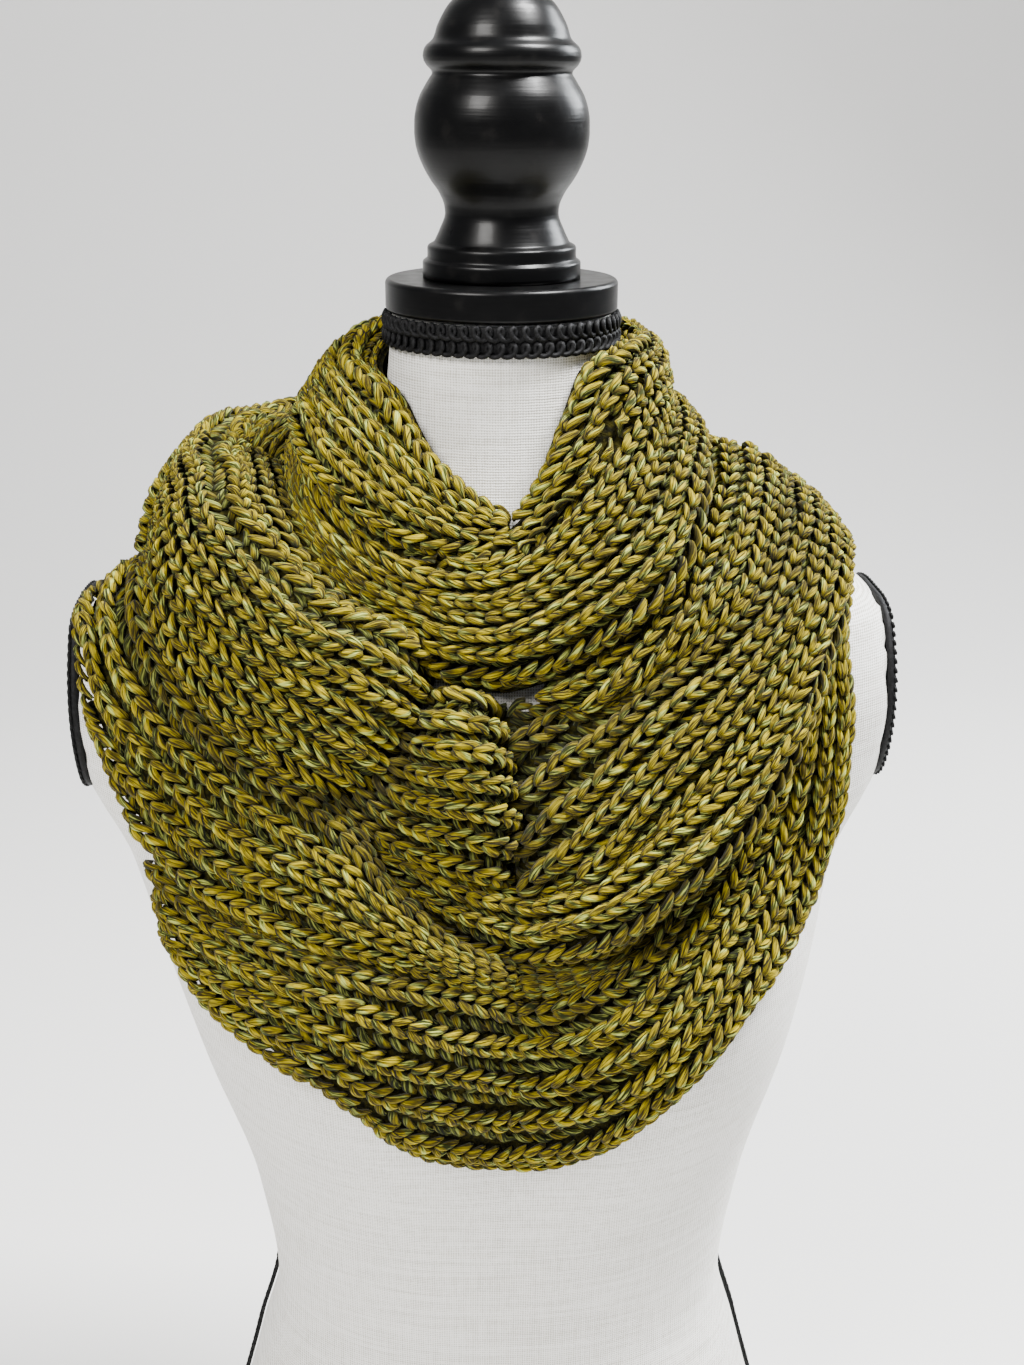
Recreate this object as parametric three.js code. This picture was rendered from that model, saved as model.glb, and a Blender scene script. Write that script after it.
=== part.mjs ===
// Ribbed knit infinity scarf, wound twice round a tabletop dress form with no limbs.
// Millimetres, +Z up. The origin is the middle of the form's flat bottom. The front faces -Y.

import * as THREE from 'three';

// Driving dimensions of the dress form
const NECK_HEIGHT = 735;
const NECK_RADIUS = 48;
const ARM_FACE = 181;
const SECTORS = 48;
const FORM_STEP = 20;
const FORM_REACH = 480;

// Driving dimensions of the knitted cloth
const WALL = 3.4;
const RIB_HEIGHT = 3.2;
const SEAM_GAP = 1;
const REST_GAP = 0.9;
const EDGE_THICKNESS = 3.2;
const RIB_PITCH = 9;

// The cloth is laid out on sloping lines that run down and out from the top of the neck.
const SLOPE = THREE.MathUtils.degToRad(35);
const SLOPE_SIN = Math.sin(SLOPE);
const SLOPE_COS = Math.cos(SLOPE);

// Cross sections of the form: height, half width, depth in front, depth behind, squareness, lean to the left
const FORM_RINGS = [
  [0, 160, 104, 118, 2.3, 0],
  [90, 152, 100, 118, 2.3, 0],
  [180, 131, 88, 96, 2.3, 0],
  [235, 118, 82, 84, 2.2, 0],
  [300, 126, 88, 86, 2.2, 0],
  [380, 146, 100, 97, 2.3, 2],
  [440, 158, 104, 104, 2.4, 5],
  [490, 168, 100, 108, 2.6, 8],
  [530, 187, 94, 108, 2.7, 8],
  [570, 197, 86, 104, 2.7, 8],
  [600, 190, 76, 94, 2.6, 8],
  [625, 138, 66, 84, 2.4, 6],
  [645, 94, 58, 72, 2.3, 3],
  [662, 68, 53, 60, 2.1, 0],
  [685, 54, 50, 52, 2.0, 0],
  [735, 48, 48, 48, 2.0, 0],
];
const ARM_LEAN = 8;
const BUST = { azimuth: 33, height: 430, out: 27, wide: 27, tall: 78 };

// The turned wooden knob above the neck plate: height above the plate's top, radius
const KNOB_PROFILE = [
  [0, 34.5], [7, 34.5], [8.5, 32.5], [13, 32.5], [14.5, 30], [20, 27], [27, 24.5], [33, 26], [41, 31],
  [50, 35.5], [60, 37.4], [70, 36.5], [79, 32.5], [84, 29], [86, 31], [89, 33.4], [94, 33], [97, 29.5],
  [102, 27.5], [110, 23], [116, 15], [119, 6], [119.6, 0],
];
const PLATE = { radius: 51, thick: 14, round: 2 };
const NECK_BRAID = { tall: 12.5, thick: 3 };
const ARM_BRAID = { wide: 8, thick: 5, inset: 0.9 };
const SIDE_BRAID = { wide: 6, thick: 3, sector: 13, top: 505, bottom: 1 };
const PART_GAP = 0.3;

// Boundary lines of the cloth. Columns: azimuth in degrees from the front, distance down the slope, lift of
// the cloth above the line, lift of the cloth below the line. A lift is measured off the form's surface.
const NECK_EDGE = [
  [-180, 14, 15, 15], [-135, 15, 15, 15], [-105, 19, 16, 16], [-88, 23, 16, 16], [-56, 29, 15, 15],
  [-46, 37.5, 14, 14], [-31, 51.5, 12, 12], [-15, 64, 11, 11], [-2, 71, 10, 10],
];
const COLLAR_FOLD = [
  [-180, 50, 28, 28], [-135, 54, 30, 28], [-105, 60, 33, 27], [-90, 64.5, 34, 26], [-80, 68, 34, 25],
  [-70, 72, 34, 24], [-58, 80, 33, 20], [-44.5, 87, 30, 17], [-35, 92, 28, 17], [-29.5, 93.5, 26, 17],
  [-19, 93, 23, 18], [-11, 90, 20, 19], [-2, 82, 16, 18], [3, 72, 14, 18], [10, 50, 14, 18], [30, 0, 14, 18],
];
const COLLAR_GUIDE = [
  [-80, 52, 24, 24], [-45, 70, 20, 17], [-20, 77, 17, 17], [2.5, 73.5, 12, 12], [10, 65.5, 13, 13],
  [18.5, 48.5, 14, 14], [29, 31, 14, 14], [40, 17, 14, 14], [53, 15, 13, 13], [70, 15, 13, 13],
  [90, 15, 14, 14], [135, 14, 15, 15], [180, 14, 15, 15],
];
const COLLAR_MIDDLE = [
  [-180, 50, 28, 28], [-135, 54, 30, 28], [-105, 60, 33, 27], [-90, 64.5, 34, 26], [-80, 68, 25, 25],
  [-70, 78, 25, 25], [-58, 91, 24, 24], [-45, 103, 24, 24], [-33, 112, 23, 23], [-21, 115.5, 22, 22],
  [-8, 115, 23, 23], [8, 108, 26, 26], [24, 92, 31, 31], [40, 72, 32, 32], [57, 54, 28, 28],
  [75, 47, 23, 23], [90, 44, 21, 21], [135, 46, 23, 23], [180, 50, 28, 28],
];
const COLLAR_EDGE = [
  [-180, 76, 30, 20], [-135, 79, 31, 54], [-110, 84, 28, 58], [-95, 86, 22, 56], [-84, 88, 19, 55],
  [-72.5, 90, 18, 54], [-65, 95, 17, 55], [-57, 102, 16, 54], [-47, 115, 15, 51], [-38.5, 124, 14, 47],
  [-28, 126, 15, 43], [-21.5, 130, 17, 40], [-19.5, 138, 17, 36], [-12.5, 142, 18, 18], [-2.5, 142, 18, 18],
  [7, 140, 21, 14], [20.5, 135, 27, 13], [30.5, 128, 33, 13], [39.5, 116, 36, 13], [48, 98, 37, 13],
  [64, 79, 34, 15], [75, 71, 31, 18], [85, 67, 29, 21], [105, 68, 28, 22], [135, 72, 29, 20],
  [180, 76, 30, 20],
];
const LAP_EDGE = [
  [-95, 144, 8, 8], [-85, 146, 10, 10], [-78, 148, 14, 14], [-71, 152, 19, 19], [-65, 163, 23, 23],
  [-58, 180, 24, 24], [-48, 193, 25, 24], [-38, 200.5, 25, 22], [-33, 205, 26, 21], [-20, 219, 26, 20],
  [0, 236, 18, 18], [33, 238, 10, 10],
];
const SWEEP_EDGE = [
  [-95, 186, -6, -6], [-85, 195, 0, 0], [-75, 213, 8, 8], [-64, 254, 14, 14], [-49, 262, 16, 16],
  [-36, 262, 18, 18], [-20, 260, 19, 19], [-2.5, 264, 18, 18], [6.5, 266, 16, 16], [19, 259, 12, 12],
  [26, 249, 8, 8], [33, 236.5, 6, 6],
];
const RIDGE_EDGE = [
  [-38, 200.5, 12, 20], [-34, 205.5, 12, 20], [-29, 213, 12, 20], [-24, 226, 13, 20], [-18, 236, 14, 21],
  [-13.5, 244, 15, 21], [-4, 252, 17, 18], [4, 254.5, 21, 12], [11, 254.5, 28, 8], [18.5, 251, 34, 6],
  [26, 243, 38, 6], [33, 235, 40, 6], [40.5, 223, 42, 6], [45, 212, 42, 6], [49.5, 199, 42, 6],
  [54, 183, 41, 7], [61, 166, 37, 10], [70, 152.5, 30, 15], [76, 149, 24, 18],
];
const SWEEP_TOP = [
  ...LAP_EDGE.filter(([azimuth]) => azimuth <= -38), ...RIDGE_EDGE.filter(([azimuth]) => azimuth > -38),
];
const SWAG_TOP = [...SWEEP_EDGE.slice(0, -1), ...RIDGE_EDGE.filter(([azimuth]) => azimuth >= 33)];
const CURL_EDGE = [
  [-4, 151, 14, 14], [8, 153, 15, 15], [20.5, 157, 18, 18], [32.5, 149, 22, 22], [43, 143, 25, 25],
  [51, 135, 27, 27], [56, 127, 28, 28], [62, 117, 30, 30], [68, 109, 33, 33], [75, 103, 35, 35],
  [85, 100, 36, 36],
];
const CHEST_EDGE = [
  [-38, 199, 12, 12], [-31, 208, 13, 13], [-24, 214, 13, 13], [-16, 219, 14, 14], [-8.5, 222, 15, 15],
  [-1, 225, 17, 17], [5, 228, 19, 19], [14.5, 226, 23, 23], [25.5, 214, 28, 28], [38, 199, 31, 31],
  [47, 184, 32, 32], [57.5, 165, 32, 32], [66, 152, 30, 30], [76, 144, 26, 26], [85, 142, 20, 20],
];
const KNOT_TOP = [[-38, 146, 14, 14], [-21, 146, 16, 16], [-10, 145.5, 26, 26], [2, 148, 25, 25]];
const HEM = [
  [-64, 312, 10, 10], [-45, 314, 10, 10], [-36, 315, 9, 9], [-29, 323, 8, 8], [-23, 333, 8, 8],
  [-16, 337, 8, 8], [-2.5, 338, 8, 8], [9.5, 339, 8, 8], [20, 335, 8, 8], [26.5, 327, 8, 8], [33, 315, 8, 8],
  [42.5, 294, 9, 9], [50, 284, 10, 10], [57, 269, 11, 11], [59.5, 259, 12, 12], [61, 236, 14, 14],
  [62, 208, 15, 15], [63.5, 183, 15, 15], [68.5, 159, 16, 16], [77, 151, 16, 16],
];
const BACK_HEM = [
  [85, 142, 20, 20], [110, 164, 13, 13], [135, 182, 11, 11], [180, 192, 9, 9], [225, 186, 10, 10],
  [250, 172, 8, 8], [265, 161, 6, 6],
];

/** Value of one column of a table at x, on a smooth curve that never overshoots between two rows. */
function column(table, index, x) {
  const last = table.length - 1;
  const at = Math.min(Math.max(x, table[0][0]), table[last][0]);
  let row = 0;
  while (row < last - 1 && at > table[row + 1][0]) row += 1;
  const step = (i) => table[i + 1][0] - table[i][0];
  const rise = (i) => (table[i + 1][index] - table[i][index]) / step(i);
  const slope = (i) => {
    if (i === 0) return rise(0);
    if (i === last) return rise(last - 1);
    const before = rise(i - 1);
    const after = rise(i);
    if (before * after <= 0) return 0;
    const near = 2 * step(i) + step(i - 1);
    const far = step(i) + 2 * step(i - 1);
    return (near + far) / (near / before + far / after);
  };
  const h = step(row);
  const t = (at - table[row][0]) / h;
  const u = 1 - t;
  return (1 + 2 * t) * u * u * table[row][index] + t * u * u * h * slope(row)
    + t * t * (3 - 2 * t) * table[row + 1][index] - t * t * u * h * slope(row + 1);
}

/** Radius of the form about its axis at an azimuth in degrees and a height. */
function formRadius(azimuth, height) {
  const angle = THREE.MathUtils.degToRad(azimuth);
  const side = Math.sin(angle);
  const front = Math.cos(angle);
  const wide = column(FORM_RINGS, 1, height) - column(FORM_RINGS, 5, height) * side;
  const deep = column(FORM_RINGS, front >= 0 ? 2 : 3, height);
  const power = column(FORM_RINGS, 4, height);
  const ring = ((Math.abs(side) / wide) ** power + (Math.abs(front) / deep) ** power) ** (-1 / power);
  const turned = THREE.MathUtils.euclideanModulo(azimuth + 180, 360) - 180;
  const bust = BUST.out * Math.exp(-(((Math.abs(turned) - BUST.azimuth) / BUST.wide) ** 2))
    * Math.exp(-(((height - BUST.height) / BUST.tall) ** 2));
  const face = ARM_FACE - Math.sign(side) * ARM_LEAN;
  return Math.min(ring + bust, face / Math.max(Math.abs(side), 1e-6));
}

/** Height off the slope of the form's surface, at a distance down the slope, by halving. */
function exactFormLift(azimuth, down) {
  let high = NECK_HEIGHT + 1;
  let low = 0;
  for (let turn = 0; turn < 40; turn += 1) {
    const z = (high + low) / 2;
    const reach = (formRadius(azimuth, z) - NECK_RADIUS) * SLOPE_SIN + (NECK_HEIGHT - z) * SLOPE_COS;
    if (reach < down) high = z;
    else low = z;
  }
  const z = (high + low) / 2;
  return (formRadius(azimuth, z) - NECK_RADIUS) * SLOPE_COS - (NECK_HEIGHT - z) * SLOPE_SIN;
}

const formRows = FORM_REACH / FORM_STEP;
const formLifts = Array.from({ length: SECTORS }, (_, i) => (
  Array.from({ length: formRows + 1 }, (_row, j) => exactFormLift(i * 360 / SECTORS, j * FORM_STEP))
));

/** Height of the faceted form off the slope, between the grid points of its mesh. */
function formLift(azimuth, down) {
  const around = THREE.MathUtils.euclideanModulo(azimuth, 360) / (360 / SECTORS);
  const i = Math.floor(around) % SECTORS;
  const s = around - Math.floor(around);
  const along = Math.min(Math.max(down / FORM_STEP, 0), formRows - 1e-6);
  const j = Math.floor(along);
  const t = along - j;
  const mix = (a, b, k) => a + (b - a) * k;
  const here = mix(formLifts[i][j], formLifts[i][j + 1], t);
  const next = mix(formLifts[(i + 1) % SECTORS][j], formLifts[(i + 1) % SECTORS][j + 1], t);
  return mix(here, next, s);
}

/** A point from its azimuth, its distance down the slope and its height off the slope. */
function slopePoint(azimuth, down, lift) {
  const angle = THREE.MathUtils.degToRad(azimuth);
  const radius = NECK_RADIUS + down * SLOPE_SIN + lift * SLOPE_COS;
  const height = NECK_HEIGHT - down * SLOPE_COS + lift * SLOPE_SIN;
  return [radius * Math.sin(angle), -radius * Math.cos(angle), height];
}

/** A closed geometry from points and corner triples. */
function solidGeometry(points, corners) {
  const geometry = new THREE.BufferGeometry();
  geometry.setAttribute('position', new THREE.Float32BufferAttribute(points.flat(), 3));
  geometry.setIndex(corners);
  return geometry;
}

/** Corner triples of a band between two rows of points, closed into a ring or left open. */
function band(corners, first, second, count, closed) {
  const steps = closed ? count : count - 1;
  for (let k = 0; k < steps; k += 1) {
    const next = (k + 1) % count;
    corners.push(first + k, second + k, second + next, first + k, second + next, first + next);
  }
}

/** Closed body from rings of equal count, ordered from top to bottom, with a middle point at each end. */
function ringSolid(rings, top, bottom) {
  const count = rings[0].length;
  const points = [...rings.flat(), top, bottom];
  const corners = [];
  for (let row = 0; row + 1 < rings.length; row += 1) {
    band(corners, row * count, (row + 1) * count, count, true);
  }
  const crown = points.length - 2;
  const base = points.length - 1;
  const lastRow = (rings.length - 1) * count;
  for (let k = 0; k < count; k += 1) {
    const next = (k + 1) % count;
    corners.push(crown, k, next, base, lastRow + next, lastRow + k);
  }
  return solidGeometry(points, corners);
}

/** Rings of the form's grid points: rows down the slope, then rings down to the flat bottom. */
function formGrid() {
  const rings = [];
  for (let j = 0; j <= formRows; j += 1) {
    rings.push(formLifts.map((lifts, i) => slopePoint(i * 360 / SECTORS, j * FORM_STEP, lifts[j])));
  }
  const lowest = rings[formRows];
  for (const share of [0.75, 0.5, 0.25, 0]) {
    rings.push(lowest.map(([, , z], i) => {
      const azimuth = i * 360 / SECTORS;
      const radius = formRadius(azimuth, z * share);
      const angle = THREE.MathUtils.degToRad(azimuth);
      return [radius * Math.sin(angle), -radius * Math.cos(angle), z * share];
    }));
  }
  return rings;
}

const formRings = formGrid();

/** Height that a rolled edge loses at a distance from it: a quarter round, with its drop or a table of it. */
function rollDrop(distance, roll, station) {
  if (!roll || distance >= roll.radius) return 0;
  const rest = 1 - Math.max(distance, 0) / roll.radius;
  const drop = Array.isArray(roll.drop) ? column(roll.drop, 1, station) : roll.drop;
  return drop * (1 - Math.sqrt(1 - rest * rest));
}

/** Azimuth brought back between -180 and 180, where a boundary line reaches all round. */
function onLine(line, azimuth) {
  return azimuth > line[line.length - 1][0] + 1 ? azimuth - 360 : azimuth;
}

/**
 * One stretch of the scarf as a function of its station and its share across, from the upper line (0) to
 * the lower line (1). Gives azimuth, distance down the slope, plain lift of the outer face, and the width
 * of the section in millimetres.
 */
function stretchPoint(stretch, station, share) {
  const { upper, lower, fan, belly } = stretch;
  const azimuths = fan ? [column(fan, 1, station), column(fan, 2, station)] : [station, station];
  const [above, below] = [onLine(upper, azimuths[0]), onLine(lower, azimuths[1])];
  const downs = [column(upper, 1, above), column(lower, 1, below)];
  const lifts = [column(upper, 3, above), column(lower, 2, below)];
  const mix = ([a, b]) => a + (b - a) * share;
  const azimuth = mix(azimuths);
  const down = mix(downs);
  const lift = mix(lifts) + 4 * share * (1 - share) * column(belly, 1, station);
  const radius = NECK_RADIUS + down * SLOPE_SIN + (formLift(azimuth, down) + lift) * SLOPE_COS;
  const degree = THREE.MathUtils.degToRad(radius);
  const turn = azimuths[1] - azimuths[0];
  const fall = downs[1] - downs[0];
  const width = Math.hypot(fall, turn * degree);
  return { azimuth, down, lift, degree, width, turn, fall };
}

/** Station where a line across the stretch comes down to a limiting boundary line, by halving. */
function meetingStation(stretch, share, { limit, inside, outside, gap }) {
  const clear = (station) => {
    const { azimuth, down } = stretchPoint(stretch, station, share);
    return azimuth < limit[0][0] || down - column(limit, 1, azimuth) > gap;
  };
  if (clear(outside)) return outside;
  let near = inside;
  let far = outside;
  for (let turn = 0; turn < 30; turn += 1) {
    const middle = (near + far) / 2;
    if (clear(middle)) near = middle;
    else far = middle;
  }
  return near;
}

/** Shares from 0 to 1 along the stretch, with closer steps beside an end that is rolled. */
function stationShares(count, closeStart, closeEnd) {
  const shares = Array.from({ length: count + 1 }, (_, k) => k / count);
  const close = [0.2, 0.55];
  if (closeStart) shares.push(...close.map((c) => c / count));
  if (closeEnd) shares.push(...close.map((c) => 1 - c / count));
  return shares.sort((a, b) => a - b);
}

/**
 * The knitted wall of one stretch: ribs run along it, raised in the outer points over a plain inside.
 * Each rib takes two strips outside and one strip inside, and rolled edges come down to the form.
 */
function clothGeometry(stretch) {
  const { ribs, steps, rolls = {}, rest = REST_GAP } = stretch;
  const across = ribs * 2;
  const shares = stationShares(steps, rolls.start, rolls.end);
  const endOf = (end, share) => {
    if (typeof end === 'number') return end;
    if (Array.isArray(end)) return column(end, 1, share);
    return meetingStation(stretch, share, end);
  };
  const rows = Array.from({ length: across + 1 }, (_, i) => i / across);
  const starts = rows.map((share) => endOf(stretch.start, share));
  const ends = rows.map((share) => endOf(stretch.end, share));
  const outer = [];
  const inner = [];
  for (const along of shares) {
    const outerRow = [];
    const innerRow = [];
    rows.forEach((share, i) => {
      const station = starts[i] + (ends[i] - starts[i]) * along;
      const place = stretchPoint(stretch, station, share);
      let shift = 0;
      if (i === 0) shift = 1;
      if (i === across) shift = -1;
      const inset = shift * Math.min(SEAM_GAP / 2, place.width / 4) / Math.max(place.width, 1e-3);
      const azimuth = place.azimuth + place.turn * inset;
      const down = place.down + place.fall * inset;
      const lost = rollDrop(share * place.width, rolls.upper, station)
        + rollDrop((1 - share) * place.width, rolls.lower, station)
        + rollDrop(Math.abs(station - starts[i]) * place.degree, rolls.start, station)
        + rollDrop(Math.abs(ends[i] - station) * place.degree, rolls.end, station);
      const form = formLift(azimuth, down);
      const plain = Math.max(form + rest + EDGE_THICKNESS, form + place.lift - lost);
      const pitch = place.width / ribs;
      const ridge = i % 2 === 1 ? RIB_HEIGHT * Math.min(1.1, pitch / RIB_PITCH) : 0;
      outerRow.push(slopePoint(azimuth, down, plain + ridge));
      if (i % 2 === 0) innerRow.push(slopePoint(azimuth, down, Math.max(form + rest, plain - WALL)));
    });
    outer.push(outerRow);
    inner.push(innerRow);
  }
  return wallGeometry(outer, inner);
}

/** Corner triples of one four-sided facet, split along its shorter diagonal. */
function facet(corners, points, a, b, c, d) {
  const reach = (i, j) => Math.hypot(...points[i].map((value, k) => value - points[j][k]));
  if (reach(a, c) <= reach(b, d)) corners.push(a, b, c, a, c, d);
  else corners.push(a, b, d, b, c, d);
}

/** Closes an outer grid and an inner grid with half as many strips into one wall. */
function wallGeometry(outer, inner) {
  const rows = outer.length;
  const wide = outer[0].length;
  const narrow = inner[0].length;
  const points = [...outer.flat(), ...inner.flat()];
  const shift = rows * wide;
  const out = (row, i) => row * wide + i;
  const inn = (row, i) => shift + row * narrow + i;
  const corners = [];
  for (let row = 0; row + 1 < rows; row += 1) {
    for (let i = 0; i + 1 < wide; i += 1) {
      facet(corners, points, out(row, i), out(row, i + 1), out(row + 1, i + 1), out(row + 1, i));
    }
    for (let i = 0; i + 1 < narrow; i += 1) {
      facet(corners, points, inn(row, i), inn(row + 1, i), inn(row + 1, i + 1), inn(row, i + 1));
    }
    for (const [o, n, flip] of [[0, 0, false], [wide - 1, narrow - 1, true]]) {
      const quad = [out(row, o), out(row + 1, o), inn(row + 1, n), inn(row, n)];
      if (flip) quad.reverse();
      corners.push(quad[0], quad[1], quad[2], quad[0], quad[2], quad[3]);
    }
  }
  for (const [row, flip] of [[0, false], [rows - 1, true]]) {
    for (let i = 0; i + 1 < narrow; i += 1) {
      const faces = [
        [inn(row, i), inn(row, i + 1), out(row, 2 * i + 1)],
        [inn(row, i), out(row, 2 * i + 1), out(row, 2 * i)],
        [inn(row, i + 1), out(row, 2 * i + 2), out(row, 2 * i + 1)],
      ];
      for (const face of faces) corners.push(...(flip ? face.reverse() : face));
    }
  }
  return solidGeometry(points, corners);
}

// The stretches of the scarf that show. Each lies between an upper and a lower line, with its number of ribs,
// its ends (a station, a table of share across against station, or the line that it meets), how far the cloth
// bellies out along it, the rolled edges that turn down to the form, and its inside's least height off the form.
const STRETCHES = {
  collar_left: {
    upper: NECK_EDGE, lower: COLLAR_FOLD, ribs: 5, start: -179.8, end: -2, steps: 30,
    belly: [[-180, 6], [-90, 8], [-40, 6], [-2, 1]],
    rolls: { upper: { radius: 9, drop: 8 }, lower: { radius: 9, drop: 9 } },
  },
  collar_right: {
    upper: COLLAR_GUIDE, lower: COLLAR_MIDDLE, ribs: 5, steps: 34,
    start: { limit: COLLAR_FOLD, inside: 30, outside: -78, gap: 4.4 }, end: 179.8,
    belly: [[-78, 2], [0, 5], [30, 7], [60, 6], [90, 5], [180, 6]],
    rolls: { upper: { radius: 9, drop: 8 } },
  },
  collar_front: {
    upper: COLLAR_MIDDLE, lower: COLLAR_EDGE, ribs: 4, start: -179.8, end: 179.8, steps: 50,
    belly: [[-180, 3], [-60, 1], [0, 4], [40, 6], [90, 4], [180, 3]],
    rolls: {
      lower: {
        radius: 12,
        drop: [[-130, 14], [-100, 3], [-30, 2], [-18, 12], [0, 14], [35, 22], [75, 22], [100, 14]],
      },
    },
  },
  left_lap: {
    upper: COLLAR_EDGE, lower: LAP_EDGE, ribs: 7, start: -94.9, steps: 16,
    end: [
      [0, -22], [0.17, -20.8], [0.29, -23], [0.39, -22.8], [0.56, -27.5], [0.66, -27.8], [0.82, -32.8],
      [1, -38],
    ],
    belly: [[-95, 10], [-70, 7], [-40, 5], [-20, 4]],
    rolls: { upper: { radius: 16, drop: 37 }, end: { radius: 14, drop: 28 } },
  },
  left_sweep: {
    upper: SWEEP_TOP, lower: SWEEP_EDGE, ribs: 5, steps: 22,
    start: [
      [0, -94.9], [0.2, -93], [0.3, -90], [0.4, -86], [0.5, -80], [0.6, -75], [0.7, -70.5], [0.8, -67],
      [0.9, -65], [1, -64],
    ],
    end: 28, rest: 5,
    belly: [[-95, 0], [-60, 3], [-20, 5], [31, 1]],
    rolls: { start: { radius: 10, drop: 8 }, end: { radius: 8, drop: 6 } },
  },
  lower_swag: {
    upper: SWAG_TOP, lower: HEM, ribs: 7, steps: 34, rest: 2.4,
    fan: [
      [-64, -64, -64], [0, 0, 0], [20, 18.5, 20], [33, 30, 33], [45, 38, 45], [55, 43, 53], [65, 47.5, 58],
      [75, 52, 61], [85, 59, 63.3], [95, 68, 71], [101, 75, 77],
    ],
    start: [[0, -64], [0.2, -63.3], [0.4, -62.6], [0.6, -60], [0.7, -56], [0.8, -49], [0.9, -40], [1, -33]],
    end: 100.8,
    belly: [[-64, 3], [-20, 7], [10, 8], [30, 3], [60, -1], [101, 0]],
    rolls: { start: { radius: 9, drop: 6 } },
  },
  chest_fold: {
    upper: KNOT_TOP, lower: CHEST_EDGE, ribs: 7, steps: 5,
    start: [
      [0, -17], [0.12, -21.2], [0.25, -21], [0.41, -25.6], [0.55, -26], [0.71, -31], [0.9, -35], [1, -36.8],
    ],
    end: [[0, -8], [0.12, -4], [0.4, -1.4], [0.75, 0.2], [1, -1]],
    belly: [[-38, 2], [-24, 4], [-9, 15], [2, 15]],
    rolls: {
      upper: { radius: 13, drop: 20 }, start: { radius: 9, drop: 6 }, end: { radius: 12, drop: 22 },
    },
  },
  chest_swag: {
    upper: CURL_EDGE, lower: CHEST_EDGE, ribs: 5, steps: 16,
    start: [[0, -3.2], [0.12, -3.2], [0.3, -0.6], [0.67, 0.9], [0.85, 0.5], [1, -0.1]], end: 84.9,
    belly: [[0, 3], [40, 4], [85, 4]],
    rolls: { start: { radius: 7, drop: 6 } },
  },
  chest_ridge: {
    upper: CHEST_EDGE, lower: RIDGE_EDGE, ribs: 3, start: -37, end: 75.8, steps: 26,
    belly: [[-38, 0], [0, 2], [30, 5], [60, 5], [76, 0]],
    rolls: { lower: { radius: 13, drop: 31 } },
  },
  upper_curl: {
    upper: COLLAR_EDGE, lower: CURL_EDGE, ribs: 4, steps: 16,
    start: [[0, 11], [0.3, 8.8], [1, 7.6]], end: 84.9,
    belly: [[8, 5], [40, 9], [85, 8]],
    rolls: { start: { radius: 8, drop: 8 } },
  },
  back_drape: {
    upper: COLLAR_EDGE, lower: BACK_HEM, ribs: 9, start: 85.1, end: 264.9, steps: 20,
    belly: [[85, 15], [120, 10], [180, 6], [225, 8], [265, 9]],
    rolls: { upper: { radius: 16, drop: [[85, 6], [180, 6], [225, 34], [250, 38], [265, 38]] } },
  },
};

/** A ring swept along a closed path of points with an upright rectangular section, corners cut. */
function sweptRing(path, sides) {
  const count = path.length;
  const rings = path.map((point, k) => sides(point, k));
  const points = rings.flat();
  const around = rings[0].length;
  const corners = [];
  for (let k = 0; k < count; k += 1) {
    band(corners, ((k + 1) % count) * around, k * around, around, true);
  }
  return solidGeometry(points, corners);
}

/** A section's corner points, each as across and out, of a flat braid with its outer corners cut. */
function braidSection(wide, thick) {
  const cut = thick * 0.35;
  return [
    [-wide / 2, 0], [wide / 2, 0], [wide / 2, thick - cut], [wide / 2 - cut, thick], [-wide / 2 + cut, thick],
    [-wide / 2, thick - cut],
  ];
}

/** The black braid round the neck, just under the plate. */
function neckBraidGeometry() {
  const middle = NECK_HEIGHT - NECK_BRAID.tall / 2 - PART_GAP;
  const path = Array.from({ length: 36 }, (_, k) => k * 10);
  return sweptRing(path, (azimuth) => {
    const angle = THREE.MathUtils.degToRad(azimuth);
    return braidSection(NECK_BRAID.tall, NECK_BRAID.thick).map(([up, out]) => {
      const z = middle + up;
      const radius = formRadius(azimuth, z) + PART_GAP + out;
      return [radius * Math.sin(angle), -radius * Math.cos(angle), z];
    });
  });
}

/** Half depth of the flat arm face at a height, in front or behind, where the ring meets the plane. */
function armHalfDepth(side, height, front) {
  const wide = column(FORM_RINGS, 1, height) - column(FORM_RINGS, 5, height) * side;
  const face = ARM_FACE - side * ARM_LEAN;
  if (wide <= face) return 0;
  const power = column(FORM_RINGS, 4, height);
  const deep = column(FORM_RINGS, front ? 2 : 3, height);
  return deep * (1 - (face / wide) ** power) ** (1 / power);
}

/** The black braid round one flat arm face, from the oval where the rounded body meets that face. */
function armBraidGeometry(side) {
  const heights = [];
  for (let z = 440; z < 640; z += 1) if (armHalfDepth(side, z, true) > 0) heights.push(z);
  const low = heights[0];
  const high = heights[heights.length - 1];
  const middle = (low + high) / 2;
  const half = (high - low) / 2;
  const path = Array.from({ length: 32 }, (_, k) => {
    const angle = (k + 0.5) * 2 * Math.PI / 32;
    const z = middle + half * Math.cos(angle);
    const front = Math.sin(angle) < 0;
    const depth = armHalfDepth(side, z, front) * (front ? -1 : 1);
    return [depth * ARM_BRAID.inset, middle + (z - middle) * ARM_BRAID.inset];
  });
  const face = ARM_FACE - side * ARM_LEAN + PART_GAP;
  const inward = (k) => {
    const [before, after] = [path[(k + 31) % 32], path[(k + 1) % 32]];
    const along = new THREE.Vector2(after[0] - before[0], after[1] - before[1]).normalize();
    return [-along.y, along.x];
  };
  const ring = (point, k) => {
    const [ny, nz] = inward(k);
    const section = braidSection(ARM_BRAID.wide, ARM_BRAID.thick).map(([across, out]) => (
      [side * (face + out), point[0] + ny * across, point[1] + nz * across]
    ));
    return side > 0 ? section : section.reverse();
  };
  return sweptRing(path, ring);
}

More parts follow.
